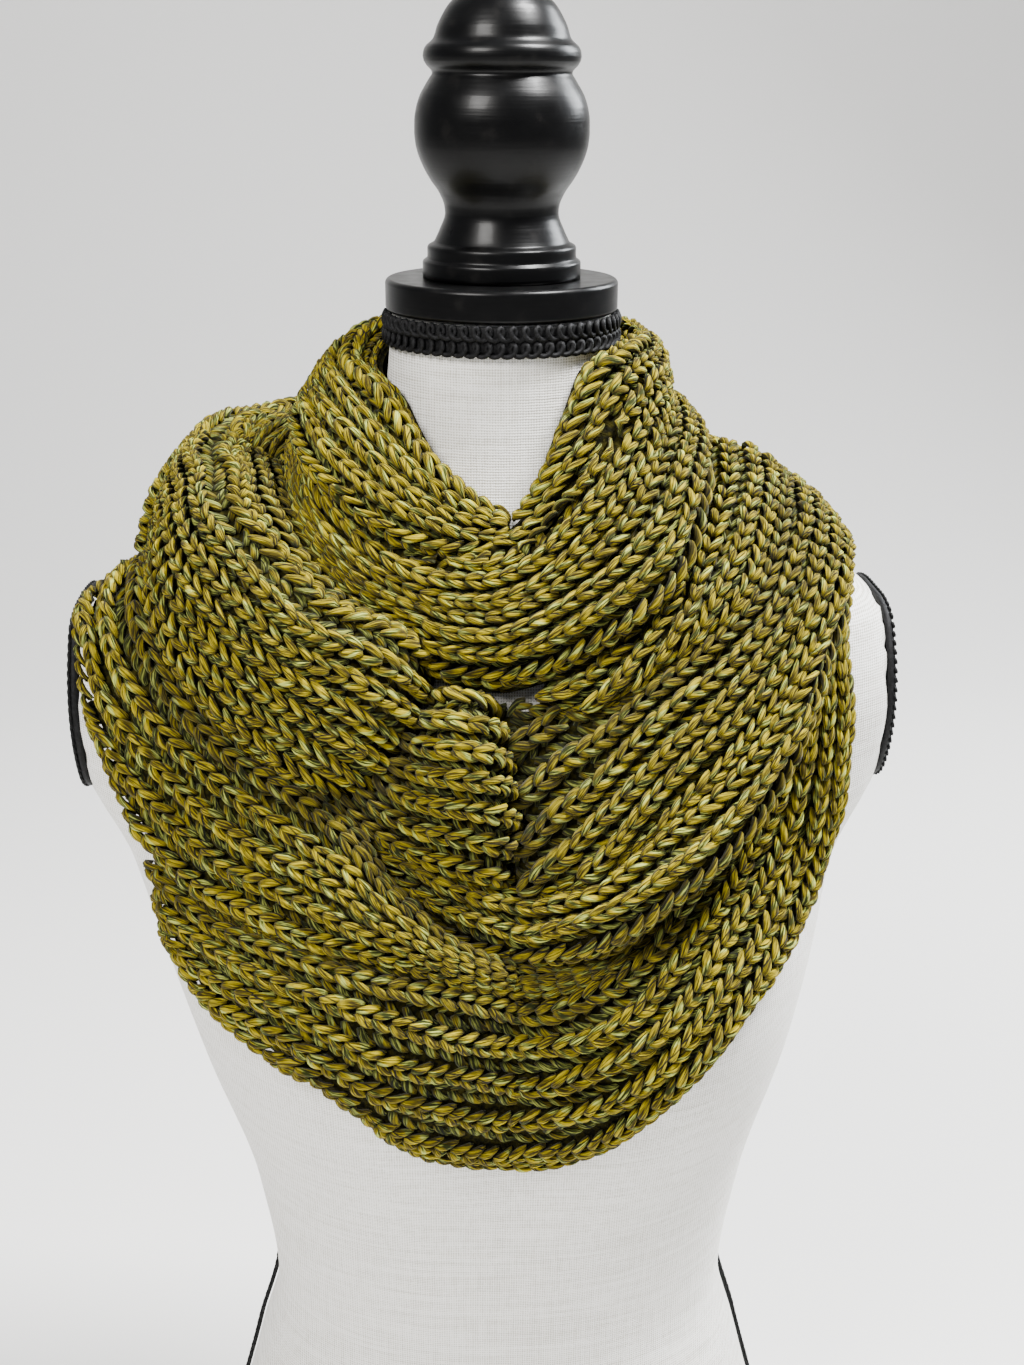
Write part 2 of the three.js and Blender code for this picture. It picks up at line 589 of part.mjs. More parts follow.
/** The black braid down one side seam of the form, from under the arm face to just above the floor. */
function sideBraidGeometry(side) {
  const sector = side > 0 ? SIDE_BRAID.sector : SECTORS - SIDE_BRAID.sector;
  const angle = sector * 2 * Math.PI / SECTORS;
  const outward = new THREE.Vector3(Math.sin(angle), -Math.cos(angle), 0);
  const beside = new THREE.Vector3(Math.cos(angle), Math.sin(angle), 0);
  const whole = formRings.map((ring) => new THREE.Vector3(...ring[sector]));
  const seam = whole.filter(({ z }) => z < SIDE_BRAID.top);
  seam[seam.length - 1].z = SIDE_BRAID.bottom;
  const section = braidSection(SIDE_BRAID.wide, SIDE_BRAID.thick);
  const points = seam.flatMap((point) => section.map(([across, out]) => {
    const corner = point.clone().addScaledVector(beside, across);
    return corner.addScaledVector(outward, out + 2 * PART_GAP).toArray();
  }));
  const corners = [];
  const count = section.length;
  const last = (seam.length - 1) * count;
  for (let k = 0; k + 1 < seam.length; k += 1) band(corners, (k + 1) * count, k * count, count, true);
  for (let k = 1; k + 1 < count; k += 1) {
    corners.push(0, k + 1, k);
    corners.push(last, last + k, last + k + 1);
  }
  return solidGeometry(points, corners);
}

/** A turned piece from its profile of radius against height, listed from bottom to top. */
function turnedGeometry(profile, segments) {
  const rings = [...profile].reverse().filter(([, radius]) => radius > 0).map(([height, radius]) => (
    Array.from({ length: segments }, (_, k) => {
      const angle = k * 2 * Math.PI / segments;
      return [radius * Math.sin(angle), -radius * Math.cos(angle), height];
    })
  ));
  const last = profile[profile.length - 1];
  return ringSolid(rings, [0, 0, last[0]], [0, 0, profile[0][0]]);
}

/** Makes a named mesh with its own material. */
function part(name, geometry, look) {
  const mesh = new THREE.Mesh(geometry, new THREE.MeshStandardMaterial(look));
  mesh.name = name;
  return mesh;
}

const LINEN = { color: 0xd9d4c8, roughness: 0.9, metalness: 0 };
const BLACK_BRAID = { color: 0x141414, roughness: 0.8, metalness: 0 };
const BLACK_WOOD = { color: 0x101010, roughness: 0.35, metalness: 0 };
const OLIVE_WOOL = { color: 0x80732f, roughness: 0.95, metalness: 0 };

const group = new THREE.Group();
group.add(part('torso', ringSolid(formRings, [0, 0, NECK_HEIGHT], [0, 0, 0]), LINEN));
group.add(part('neck_braid', neckBraidGeometry(), BLACK_BRAID));
group.add(part('arm_braid_left', armBraidGeometry(-1), BLACK_BRAID));
group.add(part('arm_braid_right', armBraidGeometry(1), BLACK_BRAID));
group.add(part('side_braid_left', sideBraidGeometry(-1), BLACK_BRAID));
group.add(part('side_braid_right', sideBraidGeometry(1), BLACK_BRAID));

const plate = part('neck_plate', turnedGeometry([
  [0, PLATE.radius - PLATE.round], [PLATE.round, PLATE.radius], [PLATE.thick - PLATE.round, PLATE.radius],
  [PLATE.thick, PLATE.radius - PLATE.round],
], 36), BLACK_WOOD);
plate.position.z = NECK_HEIGHT + PART_GAP;
group.add(plate);

const knob = part('finial', turnedGeometry(KNOB_PROFILE, 24), BLACK_WOOD);
knob.position.z = NECK_HEIGHT + PLATE.thick + 2 * PART_GAP;
group.add(knob);

for (const [name, stretch] of Object.entries(STRETCHES)) {
  group.add(part(name, clothGeometry(stretch), OLIVE_WOOL));
}

export default group;
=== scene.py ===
"""Ribbed knit infinity scarf on a limbless dress form: the pieces as they look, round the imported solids.

Sizes are in millimetres until a mesh is made, and azimuths in degrees from the front, positive to the
right of the picture.
"""

import bpy
import numpy as np
from mathutils import Matrix, Vector


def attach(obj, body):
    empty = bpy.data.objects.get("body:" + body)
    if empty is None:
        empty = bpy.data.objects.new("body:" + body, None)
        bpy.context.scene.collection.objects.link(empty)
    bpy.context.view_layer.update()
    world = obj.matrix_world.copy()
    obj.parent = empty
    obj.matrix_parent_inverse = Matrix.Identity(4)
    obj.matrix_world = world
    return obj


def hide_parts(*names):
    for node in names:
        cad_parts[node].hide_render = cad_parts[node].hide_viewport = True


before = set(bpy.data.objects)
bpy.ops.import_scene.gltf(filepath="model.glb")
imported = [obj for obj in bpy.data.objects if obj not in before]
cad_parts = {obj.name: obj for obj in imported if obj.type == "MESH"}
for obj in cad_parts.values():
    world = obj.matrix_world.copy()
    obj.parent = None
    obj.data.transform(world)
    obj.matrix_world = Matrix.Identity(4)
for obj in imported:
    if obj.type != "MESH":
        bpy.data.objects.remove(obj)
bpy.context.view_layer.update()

# The padded torso: a linen cover over a smooth form, with flat arm faces and a flat bottom. Its cross
# sections are the solid's own, and it is drawn on a finer grid: rings down a slope from the neck, which the
# scarf's places are counted on too, and below them rings that level out towards the bottom.
MM = 0.001
NECK_HEIGHT = 735
NECK_RADIUS = 48
ARM_FACE = 181
ARM_LEAN = 8
FORM_RINGS = [
    # height, half width, depth in front, depth behind, squareness, lean to the left
    (0, 160, 104, 118, 2.3, 0),
    (90, 152, 100, 118, 2.3, 0),
    (180, 131, 88, 96, 2.3, 0),
    (235, 118, 82, 84, 2.2, 0),
    (300, 126, 88, 86, 2.2, 0),
    (380, 146, 100, 97, 2.3, 2),
    (440, 158, 104, 104, 2.4, 5),
    (490, 168, 100, 108, 2.6, 8),
    (530, 187, 94, 108, 2.7, 8),
    (570, 197, 86, 104, 2.7, 8),
    (600, 190, 76, 94, 2.6, 8),
    (625, 138, 66, 84, 2.4, 6),
    (645, 94, 58, 72, 2.3, 3),
    (662, 68, 53, 60, 2.1, 0),
    (685, 54, 50, 52, 2.0, 0),
    (735, 48, 48, 48, 2.0, 0),
]
BUST = {"azimuth": 33, "height": 430, "out": 27, "wide": 27, "tall": 78}
SLOPE = np.radians(35)
FORM_REACH = 480
FORM_STEP = 5
FORM_SECTORS = 180
FORM_HALVINGS = 34
LOWER_RINGS = 17
LINEN_SHADE = (0.47, 0.445, 0.385, 1)
LINEN_LIGHT = (0.84, 0.825, 0.785, 1)
THREADS = {"Scale": 270.0, "Distortion": 1.2, "Detail": 1.0}
WEFT_SLUB = (30, 30, 560)
WARP_SLUB = (560, 560, 30)


def column(table, index, x):
    """One column of a table at x, on a smooth curve through its rows that never overshoots them.

    Between two rows it is a cubic, whose slope at a row is the weighted harmonic mean of the slopes
    beside it, or level where they have different signs.
    """
    table = np.asarray(table, float)
    at, value = table[:, 0], table[:, index]
    step = np.diff(at)
    rise = np.diff(value) / step
    slope = np.concatenate([rise[:1], np.zeros(len(at) - 2), rise[-1:]])
    near = 2 * step[1:] + step[:-1]
    far = step[1:] + 2 * step[:-1]
    same = rise[:-1] * rise[1:] > 0
    safe = np.where(same[:, None], np.stack([rise[:-1], rise[1:]], -1), 1)
    slope[1:-1] = np.where(same, (near + far) / (near / safe[:, 0] + far / safe[:, 1]), 0)
    x = np.clip(x, at[0], at[-1])
    row = np.clip(np.searchsorted(at, x, side="left") - 1, 0, len(at) - 2)
    h = step[row]
    t = (x - at[row]) / h
    u = 1 - t
    return ((1 + 2 * t) * u * u * value[row] + t * u * u * h * slope[row]
            + t * t * (3 - 2 * t) * value[row + 1] - t * t * u * h * slope[row + 1])


def form_radius(azimuth, height):
    """Radius of the form: a superellipse ring, with the bust added and the arm faces cut flat."""
    side, front = np.sin(np.radians(azimuth)), np.cos(np.radians(azimuth))
    wide = column(FORM_RINGS, 1, height) - column(FORM_RINGS, 5, height) * side
    deep = np.where(front >= 0, column(FORM_RINGS, 2, height), column(FORM_RINGS, 3, height))
    power = column(FORM_RINGS, 4, height)
    ring = ((np.abs(side) / wide) ** power + (np.abs(front) / deep) ** power) ** (-1 / power)
    turned = (azimuth + 180) % 360 - 180
    bust = (BUST["out"] * np.exp(-((np.abs(turned) - BUST["azimuth"]) / BUST["wide"]) ** 2)
            * np.exp(-((height - BUST["height"]) / BUST["tall"]) ** 2))
    face = ARM_FACE - np.sign(side) * ARM_LEAN
    return np.minimum(ring + bust, face / np.maximum(np.abs(side), 1e-6))


def exact_form_lift(azimuth, down):
    """Height of the form off the slope at a distance down it, found by halving the height interval."""
    high = np.full(np.broadcast(azimuth, down).shape, NECK_HEIGHT + 1.0)
    low = np.zeros_like(high)
    for _ in range(FORM_HALVINGS):
        z = (high + low) / 2
        reach = (form_radius(azimuth, z) - NECK_RADIUS) * np.sin(SLOPE) + (NECK_HEIGHT - z) * np.cos(SLOPE)
        high = np.where(reach < down, z, high)
        low = np.where(reach < down, low, z)
    return (form_radius(azimuth, z) - NECK_RADIUS) * np.cos(SLOPE) - (NECK_HEIGHT - z) * np.sin(SLOPE)


form_azimuths = np.arange(FORM_SECTORS) * 360 / FORM_SECTORS
form_downs = np.arange(0, FORM_REACH + 1, FORM_STEP)
form_lifts = exact_form_lift(form_azimuths[:, None], form_downs[None, :])


def form_lift(azimuth, down):
    """Height of the form off the slope, read between the grid points of its mesh."""
    around = np.mod(azimuth, 360) / (360 / FORM_SECTORS)
    i = np.floor(around).astype(int) % FORM_SECTORS
    s = around - np.floor(around)
    along = np.clip(down / FORM_STEP, 0, len(form_downs) - 1 - 1e-6)
    j = np.floor(along).astype(int)
    t = along - j
    k = (i + 1) % FORM_SECTORS
    here = form_lifts[i, j] * (1 - t) + form_lifts[i, j + 1] * t
    after = form_lifts[k, j] * (1 - t) + form_lifts[k, j + 1] * t
    return here * (1 - s) + after * s


def slope_point(azimuth, down, lift):
    """Points from their azimuth, their distance down the slope and their height off it."""
    angle = np.radians(azimuth)
    radius = NECK_RADIUS + down * np.sin(SLOPE) + lift * np.cos(SLOPE)
    height = NECK_HEIGHT - down * np.cos(SLOPE) + lift * np.sin(SLOPE)
    return np.stack([radius * np.sin(angle), -radius * np.cos(angle), height + 0 * radius], -1)


class Socket:
    """An output in a material's node tree, so that sums, products and any other node read as plain maths."""

    def __init__(self, tree, output):
        self.tree = tree
        self.output = output

    def node(self, kind, inputs, output=0, **settings):
        """Adds a node to the same tree, with inputs by name or place, and gives one of its outputs."""
        made = self.tree.nodes.new(kind)
        for name, value in settings.items():
            setattr(made, name, value)
        for key, value in inputs.items():
            if isinstance(value, Socket):
                self.tree.links.new(value.output, made.inputs[key])
            else:
                made.inputs[key].default_value = value
        return Socket(self.tree, made.outputs[output])

    def outputs(self, count):
        """The first outputs of the node that this socket belongs to."""
        return [Socket(self.tree, self.output.node.outputs[k]) for k in range(count)]

    def math(self, operation, *values):
        return self.node("ShaderNodeMath", dict(enumerate(values or (self,))), operation=operation)

    def __add__(self, other):
        return self.math("ADD", self, other)

    def __radd__(self, other):
        return self.math("ADD", other, self)

    def __sub__(self, other):
        return self.math("SUBTRACT", self, other)

    def __rsub__(self, other):
        return self.math("SUBTRACT", other, self)

    def __mul__(self, other):
        return self.math("MULTIPLY", self, other)

    def __rmul__(self, other):
        return self.math("MULTIPLY", other, self)

    def ramp(self, low, high):
        """0 below low, 1 above high, and a soft step between them."""
        return self.node("ShaderNodeMapRange", {0: self, 1: low, 2: high}, interpolation_type="SMOOTHSTEP")

    def tint(self, first, second):
        """The first colour where this is 0, the second where it is 1."""
        return self.node("ShaderNodeMix", {0: self, 6: first, 7: second}, 2, data_type="RGBA")

    def noise(self, scale, detail=2.0):
        """Noise of this vector."""
        return self.node("ShaderNodeTexNoise", {"Vector": self, "Scale": scale, "Detail": detail})


def new_material(name):
    """A material with its surface shader, and the object's own coordinates as a vector."""
    material = bpy.data.materials.new(name)
    material.use_nodes = True
    tree = material.node_tree
    shader = tree.nodes["Principled BSDF"]
    place = Socket(tree, tree.nodes.new("ShaderNodeTexCoord").outputs["Object"])
    return material, shader, place


def feed(shader, name, value):
    """Leads a socket into one input of the surface shader."""
    value.tree.links.new(value.output, shader.inputs[name])


def relief(shader, height, distance, strength=1.0):
    """Raises the surface by a bump whose full height is a distance in millimetres."""
    settings = {"Height": height, "Distance": distance * MM, "Strength": strength}
    feed(shader, "Normal", height.node("ShaderNodeBump", settings))


linen, shader, place = new_material("linen")
weave, cross = [place.node("ShaderNodeTexWave", {"Vector": place, **THREADS}, 1, bands_direction=axis)
                for axis in ("Z", "X")]
slub = place.noise(900.0, 3.0)
weft, warp = [place.node("ShaderNodeVectorMath", {0: place, 1: scale}, operation="MULTIPLY").noise(1.0, 2.0)
              for scale in (WEFT_SLUB, WARP_SLUB)]
threads = 0.2 * weave + 0.2 * cross + 0.2 * slub + 0.3 * weft + 0.2 * warp
feed(shader, "Base Color", threads.ramp(0.38, 0.6).tint(LINEN_SHADE, LINEN_LIGHT))
shader.inputs["Roughness"].default_value = 0.92
shader.inputs["Sheen Weight"].default_value = 0.15
relief(shader, weave * 0.4 + cross * 0.4 + slub * 0.4 + weft * 0.7 + warp * 0.4, 0.3, 0.8)


def grid_faces(rows, columns, wrap=False, first=0):
    """Four-cornered faces of a grid of points, whose last column meets its first one when it wraps."""
    row = np.arange(rows - 1)[:, None] * columns + first
    here = np.arange(columns if wrap else columns - 1)[None, :]
    after = (here + 1) % columns
    return np.stack([row + here, row + columns + here, row + columns + after, row + after], -1).reshape(-1, 4)


def closed_tube(rows, columns):
    """Faces of a tube of points: the wrapped grid of its wall, and one face over each end."""
    ring = np.arange(columns)
    return [grid_faces(rows, columns, True), ring[None, :], ring[::-1][None, :] + (rows - 1) * columns]


def make_mesh(name, points, faces, material):
    """A smooth object from points in millimetres and groups of faces, each face a row of corner numbers."""
    mesh = bpy.data.meshes.new(name)
    corners = [face.tolist() for group in faces for face in group]
    mesh.from_pydata((np.asarray(points) * MM).tolist(), [], corners)
    mesh.polygons.foreach_set("use_smooth", np.full(len(mesh.polygons), True))
    mesh.materials.append(material)
    mesh.update()
    piece = bpy.data.objects.new(name, mesh)
    bpy.context.scene.collection.objects.link(piece)
    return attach(piece, "root")


rows = [slope_point(form_azimuths, down, form_lifts[:, j]) for j, down in enumerate(form_downs)]
lowest = rows[-1][:, 2]
for share in np.linspace(1, 0, LOWER_RINGS)[1:]:
    height = lowest * share
    radius = form_radius(form_azimuths, height)
    angle = np.radians(form_azimuths)
    rows.append(np.stack([radius * np.sin(angle), -radius * np.cos(angle), height], -1))
torso = make_mesh("linen_torso", np.concatenate(rows), closed_tube(len(rows), FORM_SECTORS), linen)
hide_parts("torso")

# The turned knob and the plate under it, of wood painted satin black, set on the neck. Each is a profile of
# height above the piece's own foot against radius, swept round the axis, with faint grain lying level.
KNOB_PROFILE = [
    (0, 34.5), (6.3, 34.5), (7, 34.2), (8.2, 32.6), (9, 32.4), (12.6, 32.4), (13.6, 31.8), (14.8, 29.6),
    (17, 28.4), (20, 27), (27, 24.6), (30, 24.9), (35, 26.9), (41, 31), (46, 33.8), (50, 35.5),
    (55, 36.9), (60, 37.4),
    (65, 37.3), (70, 36.5), (75, 34.8), (79, 32.5), (82, 30.6), (83.6, 29.6), (84.8, 30), (86.4, 31.6),
    (88.5, 33), (90.5, 33.4), (92.5, 33.1), (94.6, 32), (96, 30.3), (97, 29.3), (98.2, 28.6), (102, 27.4),
    (106, 25.4), (110, 22.9), (114, 18.8), (117, 13), (119, 6.5), (119.6, 0.4),
]
PLATE_TALL = 14
PLATE_PROFILE = [(0, 49), (0.6, 50.2), (2, 51), (12, 51), (13.4, 50.3), (PLATE_TALL, 49), (PLATE_TALL, 30)]
PIECE_GAP = 0.3
TURNS = 96
PROFILE_STEPS = 84
PAINT_DARK = (0.0016, 0.0016, 0.0017, 1)
PAINT_WORN = (0.0045, 0.0042, 0.004, 1)
LEVEL_GRAIN = (40, 40, 900)


def turned(name, profile, base, material):
    """A turned piece: its profile, rounded by a smooth curve, swept round the axis and closed at its ends."""
    heights, radii = np.asarray(profile, float).T
    reach = np.concatenate([[0], np.cumsum(np.hypot(np.diff(heights), np.diff(radii)))])
    fine = np.unique(np.concatenate([reach, np.linspace(0, reach[-1], PROFILE_STEPS)]))
    path = np.stack([reach, heights, radii], -1)
    height, radius = column(path, 1, fine), column(path, 2, fine)
    angle = np.arange(TURNS) * 2 * np.pi / TURNS
    points = np.stack([radius[:, None] * np.sin(angle), -radius[:, None] * np.cos(angle),
                       base + height[:, None] + 0 * angle], -1)[::-1]
    return make_mesh(name, points.reshape(-1, 3), closed_tube(len(fine), TURNS), material)


black_wood, shader, place = new_material("black painted wood")
grain = place.node("ShaderNodeVectorMath", {0: place, 1: LEVEL_GRAIN}, operation="MULTIPLY").noise(1.0, 3.0)
spots = place.noise(120.0, 4.0)
feed(shader, "Base Color", spots.ramp(0.55, 0.75).tint(PAINT_DARK, PAINT_WORN))
feed(shader, "Roughness", 0.22 + spots * 0.2)
shader.inputs["Specular IOR Level"].default_value = 0.13
shader.inputs["Coat Weight"].default_value = 0.03
shader.inputs["Coat Roughness"].default_value = 0.1
relief(shader, grain, 0.12, 0.5)
knob = turned("turned_knob", KNOB_PROFILE, NECK_HEIGHT + PLATE_TALL + 2 * PIECE_GAP, black_wood)
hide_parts("finial")
plate = turned("neck_disc", PLATE_PROFILE, NECK_HEIGHT + PIECE_GAP, black_wood)
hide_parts("neck_plate")

# The black gimp braids, fixed round the neck, round the flat arm faces and down the side seams: a flat woven
# band with two rows of looped cord on it. A row of loops is a curve that runs along the band and turns back
# on itself once a loop, like the path of a point on a rolling wheel's spoke.
NECK_BRAID = dict(wide=12.5, thick=2.6, loops=62)
ARM_BRAID = dict(wide=8, thick=6.4, loops=72)
SIDE_BRAID = dict(wide=6, thick=2.8, loops=95)
SEAM_AZIMUTH = 97.5
SEAM_FOOT = 1.5
SEAM_TOP = 498
SEAM_LIFT = 0.7
BRAID_LIFT = 0.5
ARM_INSET = 0.9
BAND_STEPS = 120
ARM_STEPS = 160
LOOP_STEPS = 12
LOOP_BACK = 0.42
LOOP_MIDDLE = 0.27
LOOP_REACH = 0.21
CORD_SHARE = 0.095
CORD_SIDES = 5
BRAID_DARK = (0.0015, 0.0015, 0.0017, 1)
BRAID_LIGHT = (0.009, 0.009, 0.01, 1)

black_braid, shader, place = new_material("black gimp braid")
feed(shader, "Base Color", place.noise(700.0, 2.0).ramp(0.35, 0.75).tint(BRAID_DARK, BRAID_LIGHT))
shader.inputs["Roughness"].default_value = 0.65
shader.inputs["Specular IOR Level"].default_value = 0.18
relief(shader, place.noise(1500.0, 2.0), 0.2)


def cord_wall(path, sideways, outward, radius, closed):
    """Points and wall faces of a cord: a circle at each point of its path, and the first again if closed."""
    theta = np.arange(CORD_SIDES) * 2 * np.pi / CORD_SIDES
    points = (path[:, None] + sideways[:, None] * (radius * np.cos(theta))[None, :, None]
              + outward[:, None] * (radius * np.sin(theta))[None, :, None])
    if closed:
        points = np.concatenate([points, points[:1]])
    return points.reshape(-1, 3), grid_faces(len(points), CORD_SIDES, True)


def gimp(name, node, line, across, outward, closed, wide, thick, loops):
    """A braid from its middle line, the direction across it and the one out of it, at steps along it.

    The band is a six-cornered flat section carried along the line. The cord of a row lies at a cosine of the
    loop's phase across the band and a sine of it off the band, and its even run has a sine of it added.
    """
    reach = np.concatenate([[0], np.cumsum(np.linalg.norm(np.diff(line, axis=0, append=line[:1]), axis=1))])
    where = reach if closed else reach[:-1]
    total = where[-1]

    def at(values, s):
        rows = np.concatenate([values, values[:1]]) if closed else values
        s = np.mod(s, total) if closed else np.clip(s, 0, total)
        return np.stack([np.interp(s, where, rows[:, axis]) for axis in range(3)], -1)

    band = [(-wide / 2, 0.0), (wide / 2, 0.0), (wide / 2, thick * 0.35), (wide * 0.4, thick * 0.5),
            (-wide * 0.4, thick * 0.5), (-wide / 2, thick * 0.35)]
    band_points = np.stack([line + across * a + outward * o for a, o in band], 1)
    if closed:
        band_points = np.concatenate([band_points, band_points[:1]])
    points = [band_points.reshape(-1, 3)]
    faces = closed_tube(len(band_points), len(band))
    if closed:
        faces = faces[:1]
    first = len(points[0])
    cord = wide * CORD_SHARE
    for row, turn in ((-1, 0.0), (1, np.pi)):
        t = np.arange(loops * LOOP_STEPS + 1) / LOOP_STEPS
        t = t[:-1] if closed else t
        phase = 2 * np.pi * t + turn
        s = t * total / loops - LOOP_BACK * total / loops * np.sin(phase) * row
        place_across = row * wide * (LOOP_MIDDLE + LOOP_REACH * np.cos(phase))
        place_out = thick * 0.5 + cord * 0.6 + cord * 0.5 * np.sin(phase)
        path = at(line, s) + at(across, s) * place_across[:, None] + at(outward, s) * place_out[:, None]
        ahead = np.roll(path, -1, axis=0) - np.roll(path, 1, axis=0)
        if not closed:
            ahead = np.gradient(path, axis=0)
        sideways = np.cross(at(outward, s), ahead)
        sideways /= np.linalg.norm(sideways, axis=1)[:, None]
        cord_points, cord_faces = cord_wall(path, sideways, at(outward, s), cord, closed)
        points.append(cord_points)
        faces.append(cord_faces + first)
        first += len(cord_points)
    piece = make_mesh(name, np.concatenate(points), faces, black_braid)
    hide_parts(node)


angle = np.arange(BAND_STEPS) * 2 * np.pi / BAND_STEPS
neck_middle = NECK_HEIGHT - NECK_BRAID["wide"] / 2 - PIECE_GAP
neck_out = np.stack([np.sin(angle), -np.cos(angle), 0 * angle], -1)
neck_radius = form_radius(np.degrees(angle), np.full(BAND_STEPS, neck_middle)) + BRAID_LIFT
neck_line = neck_out * neck_radius[:, None]
neck_line[:, 2] = neck_middle
upwards = np.tile([0.0, 0.0, 1.0], (BAND_STEPS, 1))
gimp("neck_gimp", "neck_braid", neck_line, upwards, neck_out, True, **NECK_BRAID)


def arm_half_depth(side, height, front):
    """Half depth of the flat arm face, where the rounded ring meets the plane of the face."""
    wide = column(FORM_RINGS, 1, height) - column(FORM_RINGS, 5, height) * side
    share = np.clip((ARM_FACE - side * ARM_LEAN) / wide, 0, 1)
    power = column(FORM_RINGS, 4, height)
    deep = np.where(front, column(FORM_RINGS, 2, height), column(FORM_RINGS, 3, height))
    return deep * (1 - share ** power) ** (1 / power)


for side, label in ((-1, "left"), (1, "right")):
    tall = np.arange(440, 640)
    tall = tall[arm_half_depth(side, tall, True) > 0]
    middle, half = (tall[0] + tall[-1]) / 2, (tall[-1] - tall[0]) / 2
    angle = (np.arange(ARM_STEPS) + 0.5) * 2 * np.pi / ARM_STEPS
    height = middle + half * np.cos(angle)
    depth = arm_half_depth(side, height, np.sin(angle) < 0) * np.sign(np.sin(angle))
    plane = np.full(ARM_STEPS, side * (ARM_FACE - side * ARM_LEAN + BRAID_LIFT))
    line = np.stack([plane, depth * ARM_INSET, middle + (height - middle) * ARM_INSET], -1)
    ahead = np.roll(line, -1, axis=0) - np.roll(line, 1, axis=0)
    outward = np.tile([float(side), 0.0, 0.0], (ARM_STEPS, 1))
    across = np.cross(outward, ahead)
    across /= np.linalg.norm(across, axis=1)[:, None]
    gimp("arm_gimp_" + label, "arm_braid_" + label, line, across, outward, True, **ARM_BRAID)

    seam = np.linspace(SEAM_FOOT, SEAM_TOP, BAND_STEPS)
    radius = form_radius(np.full(BAND_STEPS, side * SEAM_AZIMUTH), seam) + SEAM_LIFT
    angle = np.radians(side * SEAM_AZIMUTH)
    line = np.stack([radius * np.sin(angle), -radius * np.cos(angle), seam], -1)
    outward = np.tile([np.sin(angle), -np.cos(angle), 0.0], (BAND_STEPS, 1))
    across = np.tile([np.cos(angle), np.sin(angle), 0.0], (BAND_STEPS, 1))
    gimp("side_gimp_" + label, "side_braid_" + label, line, across, outward, False, **SIDE_BRAID)

# The infinity scarf: a closed band of chunky wool in a one by one rib, wound twice round the neck and lying
# loose on the form. Each stretch of it that shows is a thin ribbed shell with chains of stitches on it.
# It lies between two boundary lines, whose rows give azimuth, distance down the slope, lift of the cloth
# above the line and lift of the cloth below it.
NECK_EDGE = [
    (-180, 14, 15, 15), (-135, 15, 15, 15), (-105, 19, 16, 16), (-88, 23, 16, 16), (-56, 29, 15, 15),
    (-46, 37.5, 14, 14), (-31, 51.5, 12, 12), (-15, 64, 11, 11), (-2, 71, 10, 10),
]
COLLAR_FOLD = [
    (-180, 50, 28, 28), (-135, 54, 30, 28), (-105, 60, 33, 27), (-90, 64.5, 34, 26), (-80, 68, 34, 25),
    (-70, 72, 34, 24), (-58, 80, 33, 20), (-44.5, 87, 30, 17), (-35, 92, 28, 17), (-29.5, 93.5, 26, 17),
    (-19, 93, 23, 18), (-11, 90, 20, 19), (-2, 82, 16, 18), (3, 72, 14, 18), (10, 50, 14, 18),
    (30, 0, 14, 18),
]
COLLAR_GUIDE = [
    (-80, 52, 24, 24), (-45, 70, 20, 17), (-20, 77, 17, 17), (2.5, 73.5, 12, 12), (10, 65.5, 13, 13),
    (18.5, 48.5, 14, 14), (29, 31, 14, 14), (40, 17, 14, 14), (53, 15, 13, 13), (70, 15, 13, 13),
    (90, 15, 14, 14), (135, 14, 15, 15), (180, 14, 15, 15),
]
COLLAR_MIDDLE = [
    (-180, 50, 28, 28), (-135, 54, 30, 28), (-105, 60, 33, 27), (-90, 64.5, 34, 26), (-80, 68, 25, 25),
    (-70, 78, 25, 25), (-58, 91, 24, 24), (-45, 103, 24, 24), (-33, 112, 23, 23), (-21, 115.5, 22, 22),
    (-8, 115, 23, 23), (8, 108, 26, 26), (24, 92, 31, 31), (40, 72, 32, 32), (57, 54, 28, 28),
    (75, 47, 23, 23), (90, 44, 21, 21), (135, 46, 23, 23), (180, 50, 28, 28),
]
COLLAR_EDGE = [
    (-180, 76, 30, 20), (-135, 79, 31, 54), (-110, 84, 28, 58), (-95, 86, 22, 56), (-84, 88, 19, 55),
    (-72.5, 90, 18, 54), (-65, 95, 17, 55), (-57, 102, 16, 54), (-47, 115, 15, 51), (-38.5, 124, 14, 47),
    (-28, 126, 15, 43), (-21.5, 130, 17, 40), (-19.5, 138, 17, 36), (-12.5, 142, 18, 18), (-2.5, 142, 18, 18),
    (7, 140, 21, 14), (20.5, 135, 27, 13), (30.5, 128, 33, 13), (39.5, 116, 36, 13), (48, 98, 37, 13),
    (64, 79, 34, 15), (75, 71, 31, 18), (85, 67, 29, 21), (105, 68, 28, 22), (135, 72, 29, 20),
    (180, 76, 30, 20),
]
LAP_EDGE = [
    (-95, 144, 8, 8), (-85, 146, 10, 10), (-78, 148, 14, 14), (-71, 152, 19, 19), (-65, 163, 23, 23),
    (-58, 180, 24, 24), (-48, 193, 25, 24), (-38, 200.5, 25, 22), (-33, 205, 26, 21), (-20, 219, 26, 20),
    (0, 236, 18, 18), (33, 238, 10, 10),
]
SWEEP_EDGE = [
    (-95, 186, -6, -6), (-85, 195, 0, 0), (-75, 213, 8, 8), (-64, 254, 14, 14), (-49, 262, 16, 16),
    (-36, 262, 18, 18), (-20, 260, 19, 19), (-2.5, 264, 18, 18), (6.5, 266, 16, 16), (19, 259, 12, 12),
    (26, 249, 8, 8), (33, 236.5, 6, 6),
]
